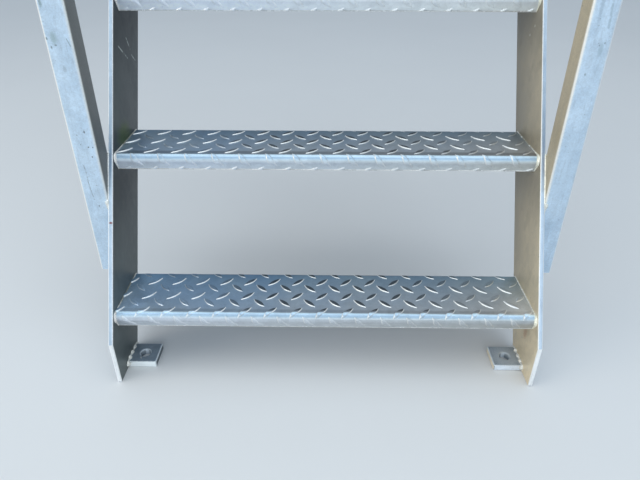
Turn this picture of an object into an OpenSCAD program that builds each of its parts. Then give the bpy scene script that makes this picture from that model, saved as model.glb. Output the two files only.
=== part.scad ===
// Steep steel access stair flight with handrails, galvanised.
// Millimetres. +Z up, +Y up the flight, +X to the climber's right.
// The origin lies on the floor, midway between the two floor bolt holes.

/* [Flight] */
// Clear width between the stringers' inner faces
clear_w = 700; // [500:10:1000]
// Slope of the flight above the level, in degrees
pitch = 60; // [52:1:66]
// Height from one tread's top to the next
rise = 230; // [200:5:260]
// Height from the floor to the lowest tread's top
first_rise = 125; // [115:5:160]

/* [Stringers] */
// Width of the stringers' flat bar, across the slope
stringer_d = 120; // [110:5:180]
// Thickness of the stringers' flat bar
stringer_t = 8; // [6:1:15]
// Height of the plumb cut at the front of the foot
toe_h = 84; // [60:2:100]
// How far the foot's plumb cut stands in front of the lowest nose
toe_reach = 28; // [24:1:45]

/* [Treads] */
// Depth of a tread from its nose to its back
tread_run = 128; // [110:2:132]
// Thickness of the folded plate
tread_t = 4; // [3:0.5:6]
// Outer radius of the folds
fold_r = 9; // [7:0.5:12]
// Height of the front flange below the tread's top
front_flange_h = 30; // [24:1:45]
// How far the front flange is folded back from the plumb, in degrees
front_flange_lean = 28; // [0:1:35]
// Height of the back flange below the tread's top
back_flange_h = 25; // [20:1:40]

/* [Floor lugs] */
// Width of a floor lug, across the flight
lug_w = 50; // [40:1:80]
// Length of a floor lug, along the flight
lug_l = 50; // [40:1:80]
// Thickness of a floor lug
lug_t = 12; // [8:1:20]
// Diameter of the floor bolt hole
lug_hole = 18; // [11:1:22]
// Depth of the chamfer on the hole's upper rim
hole_chamfer = 2; // [0.5:0.5:3]
// Distance from the lowest nose back to the floor bolts
bolts_behind_nose = 34; // [28:1:45]

/* [Head plates] */
// Width of a head plate, outwards from the stringer's inner face
head_plate_w = 70; // [50:1:100]
// Thickness of a head plate
head_plate_t = 10; // [6:1:15]
// Length of the stringer's plumb end left bare above and below the plate
head_plate_edge = 15; // [5:1:30]
// Diameter of the head bolt holes
head_hole = 18; // [11:1:22]
// Distance from the plate's ends to the bolt holes
head_hole_edge = 30; // [22:1:50]
// Distance from the landing's nose line back to the plates' back faces
head_set = 10; // [5:1:20]

/* [Posts] */
// Width of the square post tube
post_w = 40; // [40:1:60]
// Wall of the post tube
post_wall = 3; // [2:0.5:5]
// Outer corner radius of the post tube
post_r = 5; // [4:0.5:8]
// Distance from the lowest nose back to the lower posts' front faces
post_set = 92; // [70:1:130]
// Distance from the upper posts' back faces to the plates' back faces
upper_post_set = 70; // [40:1:120]
// Height of a post's front face below the stringer's front edge
post_lap = 138; // [100:1:150]
// Thickness of the sloping cap that closes a post's top
post_cap = 4; // [3:0.5:6]

/* [Rails] */
// Outer diameter of the rail tube
rail_d = 33.7; // [26.9:0.1:38]
// Wall of the rail tube
rail_wall = 2.6; // [2:0.1:4]
// Height of the handrail's axis above the line of the noses, plumb
rail_h = 950; // [900:5:1000]
// Height of the knee rail's axis above the line of the noses, plumb
knee_h = 480; // [400:5:520]
// Bend radius of the handrail's ends, at the tube's axis
bend_r = 60; // [45:1:75]
// Straight leg between the lower end's bend and the post that it returns to
hook_leg = 20; // [5:1:60]
// Thickness of the disc that closes the handrail's upper end
rail_cap = 3; // [2:0.5:4]
// Straight handrail beyond the upper post's axis, before the bend
head_run = 50; // [45:1:55]

/* [Hidden] */
$fn = 96;

steps = 6;               // treads below the landing
seat_gap = 0.2;          // between a round rail and the flat cap that carries it
fold_steps = 12;         // flats on each fold of a tread
past = 50;               // how far a cutter runs past what it cuts
zinc = [0.72, 0.75, 0.77];
zinc_dull = [0.60, 0.64, 0.66];

going = rise / tan(pitch);                     // level distance from nose to nose
nose_y = -bolts_behind_nose;                   // lowest nose
toe_y = nose_y - toe_reach;                    // front of the stringers' feet
landing_z = first_rise + steps * rise;
head_y = nose_y + steps * going + head_set;    // back faces of the head plates
end_y = head_y - head_plate_t;                 // stringers' plumb upper ends
stringer_x = clear_w / 2;                      // stringers' inner faces
rail_x = stringer_x + stringer_t + post_w / 2; // posts' and rails' axes

lower_post_y = nose_y + post_set + post_w / 2;
upper_post_y = head_y - upper_post_set - post_w / 2;
foot_bend_y = lower_post_y - post_w / 2 - hook_leg;    // centre of the lower end's bend
foot_start_y = foot_bend_y - bend_r * sin(pitch);      // handrail's straight part, lower end
head_start_y = upper_post_y + head_run * cos(pitch);   // handrail's straight part, upper end

// Height of the stringer's front edge, its back edge and the line of noses at y
function front_z(y) = toe_h + (y - toe_y) * tan(pitch);
function back_z(y) = front_z(y) - stringer_d / cos(pitch);
function nosing_z(y) = first_rise + (y - nose_y) * tan(pitch);

head_plate_z0 = back_z(end_y) + head_plate_edge;
head_plate_z1 = landing_z - head_plate_edge;

// Turns a profile drawn in the Y, Z plane into a bar that runs along +X
module along_x(length) {
  rotate([90, 0, 90]) linear_extrude(height = length) children();
}

// Mirrors a right-hand piece to the left-hand side
module side(s) {
  if (s < 0) mirror([1, 0, 0]) children();
  else children();
}

// Frame on a rail's axis: +Y runs up the slope, +Z stands square to it
module on_slope(y, height) {
  translate([rail_x, y, nosing_z(y) + height]) rotate([pitch, 0, 0]) children();
}

// Straight tube along +Y
module tube(length) {
  rotate([-90, 0, 0]) difference() {
    cylinder(d = rail_d, h = length);
    translate([0, 0, -past]) cylinder(d = rail_d - 2 * rail_wall, h = length + 2 * past);
  }
}

// Bend in the Y, Z plane, about its own centre, from one angle over another
module elbow(start, sweep) {
  rotate([90, 0, 90]) rotate([0, 0, start]) rotate_extrude(angle = sweep)
    translate([bend_r, 0]) difference() {
      circle(d = rail_d);
      circle(d = rail_d - 2 * rail_wall);
    }
}

// Square with round corners, centred
module round_square(w, r) {
  square([w - 2 * r, w], center = true);
  square([w, w - 2 * r], center = true);
  for (x = [-1, 1], y = [-1, 1])
    translate([x * (w / 2 - r), y * (w / 2 - r)]) circle(r);
}

module stringer(s) {
  top_y = toe_y + (landing_z - toe_h) / tan(pitch);
  foot_y = toe_y + (stringer_d / cos(pitch) - toe_h) / tan(pitch);
  color(zinc) side(s) translate([stringer_x, 0, 0]) along_x(stringer_t)
    polygon([[toe_y, 0], [toe_y, toe_h], [min(top_y, end_y), min(landing_z, front_z(end_y))],
             [end_y, min(landing_z, front_z(end_y))], [end_y, back_z(end_y)], [foot_y, 0]]);
}

// Points on an arc about a centre, from one angle to another
function arc(centre, r, from, to) =
  [for (k = [0 : fold_steps]) let (a = from + (to - from) * k / fold_steps)
    centre + r * [cos(a), sin(a)]];

// Folded plate: level top, round nose, front flange folded back, back flange
module tread_profile() {
  nose = [fold_r, -fold_r];
  back = [tread_run - fold_r, -fold_r];
  lean = 180 + front_flange_lean;
  down = [sin(front_flange_lean), -cos(front_flange_lean)];
  front_l = (front_flange_h - fold_r - fold_r * sin(front_flange_lean)) / cos(front_flange_lean);
  inner_r = fold_r - tread_t;
  nose_out = arc(nose, fold_r, lean, 90);
  back_out = arc(back, fold_r, 90, 0);
  back_in = arc(back, inner_r, 0, 90);
  nose_in = arc(nose, inner_r, 90, lean);
  polygon(concat(
    [nose_out[0] + front_l * down], nose_out, back_out,
    [[tread_run, -back_flange_h], [tread_run - tread_t, -back_flange_h]],
    back_in, nose_in, [nose_in[fold_steps] + front_l * down]));
}

module tread(n) {
  color(zinc_dull)
    translate([-stringer_x, nose_y + (n - 1) * going, first_rise + (n - 1) * rise])
    along_x(clear_w) tread_profile();
}

module lug(s) {
  hole_x = stringer_x - lug_w / 2;
  color(zinc_dull) side(s) difference() {
    translate([stringer_x - lug_w, -lug_l / 2, 0]) cube([lug_w, lug_l, lug_t]);
    translate([hole_x, 0, -past]) cylinder(d = lug_hole, h = 2 * past);
    translate([hole_x, 0, lug_t - hole_chamfer])
      cylinder(d1 = lug_hole, d2 = lug_hole + 4 * hole_chamfer, h = 2 * hole_chamfer);
  }
}

module head_plate(s) {
  hole_x = stringer_x + stringer_t + (head_plate_w - stringer_t) / 2;
  color(zinc_dull) side(s) difference() {
    translate([stringer_x, end_y, head_plate_z0])
      cube([head_plate_w, head_plate_t, head_plate_z1 - head_plate_z0]);
    for (z = [head_plate_z0 + head_hole_edge, head_plate_z1 - head_hole_edge])
      translate([hole_x, end_y - past, z]) rotate([-90, 0, 0]) cylinder(d = head_hole, h = 2 * past);
  }
}

// Upright prism from the foot to a plane that lies a given depth below the handrail's axis
module post_prism(y, w, r, foot_z, depth) {
  intersection() {
    translate([rail_x, y, foot_z]) linear_extrude(height = 2 * rail_h + post_lap) round_square(w, r);
    on_slope(y, rail_h) translate([-post_w, -3 * rail_h, -6 * rail_h - depth])
      cube([2 * post_w, 6 * rail_h, 6 * rail_h]);
  }
}

module post(s, y) {
  foot_z = front_z(y - post_w / 2) - post_lap;
  seat = rail_d / 2 + seat_gap;
  color(zinc) side(s) difference() {
    post_prism(y, post_w, post_r, foot_z, seat);
    post_prism(y, post_w - 2 * post_wall, post_r - post_wall, foot_z - past, seat + post_cap);
  }
}

module handrail(s) {
  color(zinc) side(s) on_slope(foot_start_y, rail_h) tube((head_start_y - foot_start_y) / cos(pitch));
}

// Bend at the handrail's lower end, which returns level into the post
module handrail_foot(s) {
  centre_z = nosing_z(foot_bend_y) + rail_h - bend_r / cos(pitch);
  color(zinc) side(s) translate([rail_x, foot_bend_y, centre_z]) {
    elbow(270, pitch - 180);
    translate([0, 0, -bend_r]) tube(hook_leg);
  }
}

// Bend at the handrail's upper end, which runs out level to the head, closed by a disc
module handrail_head(s) {
  start_z = nosing_z(head_start_y) + rail_h;
  centre_y = head_start_y + bend_r * sin(pitch);
  level = head_y - centre_y;
  color(zinc) side(s) translate([rail_x, centre_y, start_z - bend_r * cos(pitch)]) {
    elbow(90, pitch);
    translate([0, 0, bend_r]) {
      tube(level - rail_cap);
      translate([0, level - rail_cap, 0]) rotate([-90, 0, 0]) cylinder(d = rail_d, h = rail_cap);
    }
  }
}

// Straight tube cut plumb against the faces of both posts
module knee_rail(s) {
  y0 = lower_post_y + post_w / 2;
  y1 = upper_post_y - post_w / 2;
  color(zinc) side(s) intersection() {
    on_slope(lower_post_y, knee_h) tube((upper_post_y - lower_post_y) / cos(pitch));
    translate([rail_x - post_w, y0, 0]) cube([2 * post_w, y1 - y0, 3 * landing_z]);
  }
}

stringer(-1);  // stringer_left
stringer(1);  // stringer_right
tread(1);  // tread_1
tread(2);  // tread_2
tread(3);  // tread_3
tread(4);  // tread_4
tread(5);  // tread_5
tread(6);  // tread_6
lug(-1);  // lug_left
lug(1);  // lug_right
head_plate(-1);  // head_plate_left
head_plate(1);  // head_plate_right
post(-1, lower_post_y);  // lower_post_left
post(1, lower_post_y);  // lower_post_right
post(-1, upper_post_y);  // upper_post_left
post(1, upper_post_y);  // upper_post_right
handrail(-1);  // handrail_left
handrail(1);  // handrail_right
knee_rail(-1);  // knee_rail_left
knee_rail(1);  // knee_rail_right
handrail_foot(-1);  // handrail_foot_left
handrail_foot(1);  // handrail_foot_right
handrail_head(-1);  // handrail_head_left
handrail_head(1);  // handrail_head_right
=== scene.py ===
"""Looks of a steep galvanised steel stair flight with handrails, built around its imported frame."""

import logging
import math
import random
from dataclasses import dataclass
from enum import Enum
from functools import cached_property
from typing import Callable, Iterable, Iterator, Sequence

import bpy
import bmesh
import numpy as np
from mathutils import Matrix, Vector
from mathutils.geometry import delaunay_2d_cdt


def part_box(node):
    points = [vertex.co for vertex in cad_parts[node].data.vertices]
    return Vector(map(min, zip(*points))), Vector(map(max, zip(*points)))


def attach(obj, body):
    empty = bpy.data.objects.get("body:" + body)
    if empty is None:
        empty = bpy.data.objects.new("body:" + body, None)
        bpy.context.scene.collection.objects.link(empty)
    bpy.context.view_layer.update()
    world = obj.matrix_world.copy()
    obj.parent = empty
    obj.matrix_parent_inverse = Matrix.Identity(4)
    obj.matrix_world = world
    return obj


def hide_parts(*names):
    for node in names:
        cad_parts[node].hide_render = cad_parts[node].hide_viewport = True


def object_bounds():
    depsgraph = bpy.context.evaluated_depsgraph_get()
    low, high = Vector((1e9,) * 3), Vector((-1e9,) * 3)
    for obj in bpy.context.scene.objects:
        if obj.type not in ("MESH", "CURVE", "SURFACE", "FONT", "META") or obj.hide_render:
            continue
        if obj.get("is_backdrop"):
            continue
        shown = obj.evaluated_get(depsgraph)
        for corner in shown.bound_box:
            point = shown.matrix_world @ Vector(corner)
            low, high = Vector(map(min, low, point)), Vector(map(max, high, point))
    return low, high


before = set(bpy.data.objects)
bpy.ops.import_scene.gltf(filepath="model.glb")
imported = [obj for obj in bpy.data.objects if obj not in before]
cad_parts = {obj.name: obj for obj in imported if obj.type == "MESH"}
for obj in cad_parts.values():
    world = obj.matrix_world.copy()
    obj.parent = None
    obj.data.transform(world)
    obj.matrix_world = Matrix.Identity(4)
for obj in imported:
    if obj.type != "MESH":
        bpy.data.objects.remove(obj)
CAD_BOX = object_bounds()

LOG = logging.getLogger("stair")
BODY = "root"
MM = 0.001
SIDES = {"left": -1.0, "right": 1.0}
LEVELS = ("lower", "upper")
RIGHT = Vector((1.0, 0.0, 0.0))
BACK = Vector((0.0, 1.0, 0.0))
UP = Vector((0.0, 0.0, 1.0))
# The turn round a tread's nose that the painted value of 1 stands for, in degrees
FULL_TURN = 240

Point2 = tuple[float, float]
Colour = tuple[float, float, float, float]
Place = Callable[[float, float, float], Sequence[float]]
Face = tuple[int, ...]
Meshes = Iterator[tuple[bpy.types.Mesh, "Slot", str]]
Link = tuple[float, int, int]
Axis = list[tuple[Vector, Vector]]


def paint(red: int, green: int, blue: int) -> Colour:
    """Linear colour of an 8-bit screen colour."""
    shares = [v / 255 for v in (red, green, blue)]
    return (*(v / 12.92 if v <= 0.04045 else ((v + 0.055) / 1.055) ** 2.4 for v in shares), 1.0)


class Slot(Enum):
    """Material slots of the record, listed with each mesh; the pieces take their finish from their
    sub-assembly's zinc.
    """

    BAR = "zinc_flat_bar"
    TREAD = "zinc_tread_plate"
    FIXING = "zinc_fixing_plate"
    POST = "zinc_post_tube"
    RAIL = "zinc_rail_tube"


# Sizes


@dataclass(frozen=True)
class Flight:
    """Sizes that the flight's pieces share, in metres.

    Attributes:
        pitch: Slope above the level, in radians.
        rise: Height from tread to tread.
        first_rise: Height of the lowest tread's top.
        steps: Number of treads.
        nose_y: Lowest nose.
        toe_y: Front of the sides' feet.
        toe_h: Height of the plumb cut at the feet.
        bar_d: Width of the sides' flat bar.
        bar_t: Thickness of the sides' flat bar.
        inner_x: Inner faces of the sides.
        post_w: Width of a post.
        rail_d: Diameter of a rail.
        rail_wall: Wall of a rail.
        rail_h: Height of the handrail's axis above the noses.
        knee_h: Height of the knee rail's axis above the noses.
        bend_r: Radius of the handrail's bends.
        hook_leg: Straight leg between the lower bend and the post.
        head_run: Straight handrail beyond the upper post's axis.
    """

    pitch: float = math.radians(60)
    rise: float = 0.230
    first_rise: float = 0.125
    steps: int = 6
    nose_y: float = -0.034
    toe_y: float = -0.062
    toe_h: float = 0.084
    bar_d: float = 0.120
    bar_t: float = 0.008
    inner_x: float = 0.350
    post_w: float = 0.040
    rail_d: float = 0.0337
    rail_wall: float = 0.0026
    rail_h: float = 0.950
    knee_h: float = 0.480
    bend_r: float = 0.060
    hook_leg: float = 0.020
    head_run: float = 0.050

    @property
    def going(self) -> float:
        """Level distance from nose to nose."""
        return self.rise / math.tan(self.pitch)

    @property
    def outer_x(self) -> float:
        """Outer faces of the sides."""
        return self.inner_x + self.bar_t

    @property
    def rail_x(self) -> float:
        """Axes of the posts and rails."""
        return self.outer_x + self.post_w / 2

    def front_z(self, y: float) -> float:
        """Height of the sides' front edge."""
        return self.toe_h + (y - self.toe_y) * math.tan(self.pitch)

    def back_z(self, y: float) -> float:
        """Height of the sides' back edge."""
        return self.front_z(y) - self.bar_d / math.cos(self.pitch)

    def nosing_z(self, y: float) -> float:
        """Height of the line of the noses."""
        return self.first_rise + (y - self.nose_y) * math.tan(self.pitch)

    def knee_z(self, y: float, square: float) -> float:
        """Height on the knee rail's plumb cut, some way square to the rail from its axis."""
        return self.nosing_z(y) + self.knee_h + square / math.cos(self.pitch)

    @property
    def slope(self) -> Vector:
        """Direction up the slope."""
        return Vector((0.0, math.cos(self.pitch), math.sin(self.pitch)))

    @property
    def square(self) -> Vector:
        """Direction square to the slope, towards the climber."""
        return Vector((0.0, -math.sin(self.pitch), math.cos(self.pitch)))


FLIGHT = Flight()


# Shading


class Wire:
    """A socket that carries a value or a vector. Arithmetic on it adds Math or Vector Math nodes."""

    def __init__(self, bench: "Bench", socket: bpy.types.NodeSocket) -> None:
        """Keeps the bench that makes the nodes, and the socket."""
        self.bench = bench
        self.socket = socket

    def _work(self, operation: str, *terms: object) -> "Wire":
        """Adds one Math or Vector Math node.

        Args:
            operation: The node's operation.
            terms: Wires, numbers or vectors, in the order of the node's inputs.

        Returns:
            The node's first output.
        """
        vector = self.socket.type in ("VECTOR", "RGBA")
        kind = "ShaderNodeVectorMath" if vector else "ShaderNodeMath"
        values = {
            i: (t, t, t) if vector and isinstance(t, (int, float)) else t
            for i, t in enumerate(terms)
        }
        return self.bench.wire(kind, {"operation": operation}, values)

    def __add__(self, other: object) -> "Wire":
        """Sum."""
        return self._work("ADD", self, other)

    def __radd__(self, other: object) -> "Wire":
        """Sum, with the wire on the right."""
        return self._work("ADD", other, self)

    def __sub__(self, other: object) -> "Wire":
        """Difference."""
        return self._work("SUBTRACT", self, other)

    def __rsub__(self, other: object) -> "Wire":
        """Difference, with the wire on the right."""
        return self._work("SUBTRACT", other, self)

    def __mul__(self, other: object) -> "Wire":
        """Product."""
        return self._work("MULTIPLY", self, other)

    def __rmul__(self, other: object) -> "Wire":
        """Product, with the wire on the right."""
        return self._work("MULTIPLY", other, self)

    def __truediv__(self, other: object) -> "Wire":
        """Quotient."""
        return self._work("DIVIDE", self, other)

    def __abs__(self) -> "Wire":
        """Absolute value."""
        return self._work("ABSOLUTE", self)

    def most(self, other: object) -> "Wire":
        """The larger of this and another value."""
        return self._work("MAXIMUM", self, other)

    def least(self, other: object) -> "Wire":
        """The smaller of this and another value."""
        return self._work("MINIMUM", self, other)

    def fraction(self) -> "Wire":
        """What the value has beyond a whole number."""
        return self._work("FRACT", self)

    def length(self) -> "Wire":
        """Length of a vector."""
        return self.bench.wire("ShaderNodeVectorMath", {"operation": "LENGTH"}, {0: self}, "Value")

    def dot(self, other: Sequence[float]) -> "Wire":
        """Scalar product with another vector."""
        operation = {"operation": "DOT_PRODUCT"}
        return self.bench.wire("ShaderNodeVectorMath", operation, {0: self, 1: other}, "Value")

    def step(self, low: float, high: float) -> "Wire":
        """Smooth step from one value to another.

        Args:
            low: Value at which the step begins. It may be the larger of the two.
            high: Value at which the step ends.

        Returns:
            0 before the step, 1 after it.
        """
        ends = (low, high, 0.0, 1.0) if low < high else (high, low, 1.0, 0.0)
        return self.bench.wire(
            "ShaderNodeMapRange",
            {"interpolation_type": "SMOOTHSTEP"},
            {0: self, 1: ends[0], 2: ends[1], 3: ends[2], 4: ends[3]},
        )


class Bench:
    """The node tree of one material, world or lamp, and the one method that adds nodes to it."""

    def __init__(self, tree: bpy.types.NodeTree) -> None:
        """Empties the tree and keeps it."""
        self.tree = tree
        tree.nodes.clear()

    def node(self, kind: str, settings: dict | None = None, inputs: dict | None = None) -> bpy.types.Node:
        """Adds a node.

        Args:
            kind: The node's type.
            settings: Properties, set first. "stops" are a ramp's positions and colours.
            inputs: Values or wires by the socket's name or number.

        Returns:
            The new node.
        """
        node = self.tree.nodes.new(kind)
        for name, value in (settings or {}).items():
            if name == "stops":
                ramp = node.color_ramp
                while len(ramp.elements) < len(value):
                    ramp.elements.new(0.5)
                for element, (position, colour) in zip(ramp.elements, value):
                    element.position = position
                    element.color = colour
            else:
                setattr(node, name, value)
        for name, value in (inputs or {}).items():
            if isinstance(value, Wire):
                self.tree.links.new(value.socket, node.inputs[name])
            else:
                node.inputs[name].default_value = value
        return node

    def wire(
        self, kind: str, settings: dict | None = None, inputs: dict | None = None, output: str | int = 0
    ) -> Wire:
        """Adds a node and takes one of its outputs."""
        return Wire(self, self.node(kind, settings, inputs).outputs[output])

    @cached_property
    def place(self) -> Wire:
        """Position on the object, in metres of the shared frame."""
        return self.wire("ShaderNodeTexCoord", output="Object")

    @cached_property
    def spot(self) -> tuple[Wire, Wire, Wire]:
        """How far across, back and up the position is, in metres."""
        return self.axes(self.place)

    def axes(self, vector: Wire) -> tuple[Wire, Wire, Wire]:
        """The three parts of a vector."""
        node = self.node("ShaderNodeSeparateXYZ", inputs={0: vector})
        return tuple(Wire(self, node.outputs[i]) for i in range(3))

    def facet(self) -> tuple[Wire, Wire, Wire]:
        """The three parts of the surface's direction."""
        return self.axes(self.wire("ShaderNodeNewGeometry", output="Normal"))

    def painted(self, name: str) -> Wire:
        """A value that the mesh carries under that name."""
        return self.wire("ShaderNodeAttribute", {"attribute_name": name}, output="Fac")

    def noise(self, size: float, detail: float = 3.0, stretch: Sequence[float] = (1, 1, 1)) -> Wire:
        """Cloudy variation around 0.5. The size is that of a cloud, in metres."""
        scaled = self.place * tuple(1 / (size * s) for s in stretch)
        return self.wire("ShaderNodeTexNoise", {}, {"Vector": scaled, "Scale": 1.0, "Detail": detail})

    def crystals(self, size: float, output: str = "Color") -> Wire:
        """Cells over the object: a tone for each, or Distance for how far its centre is."""
        cells = self.wire("ShaderNodeTexVoronoi", {}, {"Vector": self.place, "Scale": 1 / size}, output)
        return cells if output == "Distance" else self.axes(cells)[0]

    def mix(self, below: object, above: object, factor: object) -> Wire:
        """Lays one colour over another."""
        sockets = {0: factor, 6: below, 7: above}
        return self.wire("ShaderNodeMix", {"data_type": "RGBA", "clamp_factor": True}, sockets, 2)

    def shade(self, colour: object, amount: Wire) -> Wire:
        """Multiplies a colour by a grey value.

        Args:
            colour: Colour or wire.
            amount: Factor, 1 for no change.

        Returns:
            The shaded colour.
        """
        grey = self.wire("ShaderNodeCombineXYZ", {}, {0: amount, 1: amount, 2: amount})
        settings = {"data_type": "RGBA", "blend_type": "MULTIPLY"}
        return self.wire("ShaderNodeMix", settings, {0: 1.0, 6: colour, 7: grey}, 2)

    def coat(self, inputs: dict) -> None:
        """Ends the tree in one Principled shader with these values or wires."""
        shader = self.wire("ShaderNodeBsdfPrincipled", {}, inputs)
        self.node("ShaderNodeOutputMaterial", {}, {"Surface": shader})


@dataclass(frozen=True)
class StainAndPaintedLight:
    """A soft patch of colour at one place, for stains and for painted light and shade.

    Attributes:
        at: Its middle, in metres.
        size: Half its length along each axis, in metres.
        colour: Its colour.
        strength: How much it covers, 0 to 1.
    """

    at: tuple[float, float, float]
    size: tuple[float, float, float]
    colour: Colour
    strength: float = 0.7

    def cover(self, bench: Bench) -> Wire:
        """How much of the surface the patch covers.

        Args:
            bench: Where the nodes are made.

        Returns:
            The share, 0 to 1.
        """
        reach = ((bench.place - self.at) / self.size).length()
        ragged = reach + (bench.noise(min(self.size) * 0.8, 4.0) - 0.5) * 0.9
        return ragged.step(1.0, 0.25) * self.strength


@dataclass(frozen=True)
class Scratch:
    """A thin straight mark between two places.

    Attributes:
        start: Its beginning, in metres.
        end: Its end, in metres.
        width: Half its width, in metres.
        colour: Its colour.
        strength: How much it covers, 0 to 1.
    """

    start: tuple[float, float, float]
    end: tuple[float, float, float]
    width: float
    colour: Colour
    strength: float = 0.6

    def cover(self, bench: Bench) -> Wire:
        """How much of the surface the mark covers.

        Args:
            bench: Where the nodes are made.

        Returns:
            The share, 0 to 1.
        """
        run = Vector(self.end) - Vector(self.start)
        from_start = bench.place - self.start
        share = from_start.dot(tuple(run / run.length_squared)).most(0.0).least(1.0)
        nearest = bench.wire("ShaderNodeVectorMath", {"operation": "SCALE"}, {0: tuple(run), "Scale": share})
        reach = (from_start - nearest).length()
        worn = bench.noise(0.006).step(0.30, 0.60)
        return reach.step(self.width, self.width * 0.3) * worn * self.strength


@dataclass(frozen=True)
class PaintedSideLight:
    """Painted light and shade on the faces that look inwards, one for each side.

    Attributes:
        inner: Distance of the inner faces from the middle, in metres.
        shady: Colour on the left-hand side, a painted shade.
        sunny: Colour on the right-hand side, a painted warm light.
        strength: How much the painted colours cover, 0 to 1.
        foot: How much paler they are near the floor, a painted light.
        under_tread_shade: How much darker they are under each tread and towards the back edge, a painted
            shade, 0 to 1.
        fringe: Width over which the painted colours end at the inner faces, in metres.
    """

    inner: float
    shady: Colour
    sunny: Colour
    strength: float = 0.95
    foot: float = 0.0
    under_tread_shade: float = 0.0
    fringe: float = 0.001

    def over(self, bench: Bench, plain: Wire) -> Wire:
        """Lays the painted light and shade over a colour.

        Args:
            bench: Where the nodes are made.
            plain: Colour below.

        Returns:
            The covered colour.
        """
        across, along, height = bench.spot
        inside = abs(across).step(self.inner + self.fringe * 1.4, self.inner + self.fringe * 0.4)
        # Cloudy, and painted paler near the floor as painted light
        clouds = bench.noise(0.07, 4.0, (1, 0.6, 3.5)) + height.step(0.34, 0.08) * self.foot
        behind = along - FLIGHT.toe_y - (height - FLIGHT.toe_h) / math.tan(FLIGHT.pitch)
        bay = ((height - FLIGHT.first_rise) / FLIGHT.rise).fraction()
        # Painted shade under each tread and towards the back edge: on the left deeper between the treads, on
        # the right lighter there and near the floor
        under_tread_shade = height.step(0.05, 0.20) * self.under_tread_shade
        under = bay.step(0.42, 0.87) * under_tread_shade
        deep = bay.step(0.2, 1.0) * height.step(0.13, 0.22) * self.under_tread_shade
        kept = 1 - (behind - 0.055) * under_tread_shade * 9.5
        gloom = (1 - under) * (1 - deep * 1.2)
        # Left-hand faces take the painted shade, right-hand faces the painted warm light
        shady = bench.shade(self.shady, (0.72 + clouds * 0.55) * kept * gloom)
        glow = 0.93 + deep * 0.16 - under * 0.78 + height.step(0.15, 0.06) * 0.18
        sunny = bench.shade(self.sunny, (0.84 + clouds * 0.32) * kept * glow)
        return bench.mix(plain, bench.mix(shady, sunny, across.step(-0.1, 0.1)), inside * self.strength)


# Sizes of the zinc's streaks, finest mottling, flecks, gaps between specks, areas with specks
# and waves, in metres
STREAK = 0.010
MOTTLE = 0.0022
FLECK = 0.0042
SPECK = 0.0075
SPECKED = 0.028
WAVE = 0.045


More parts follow.
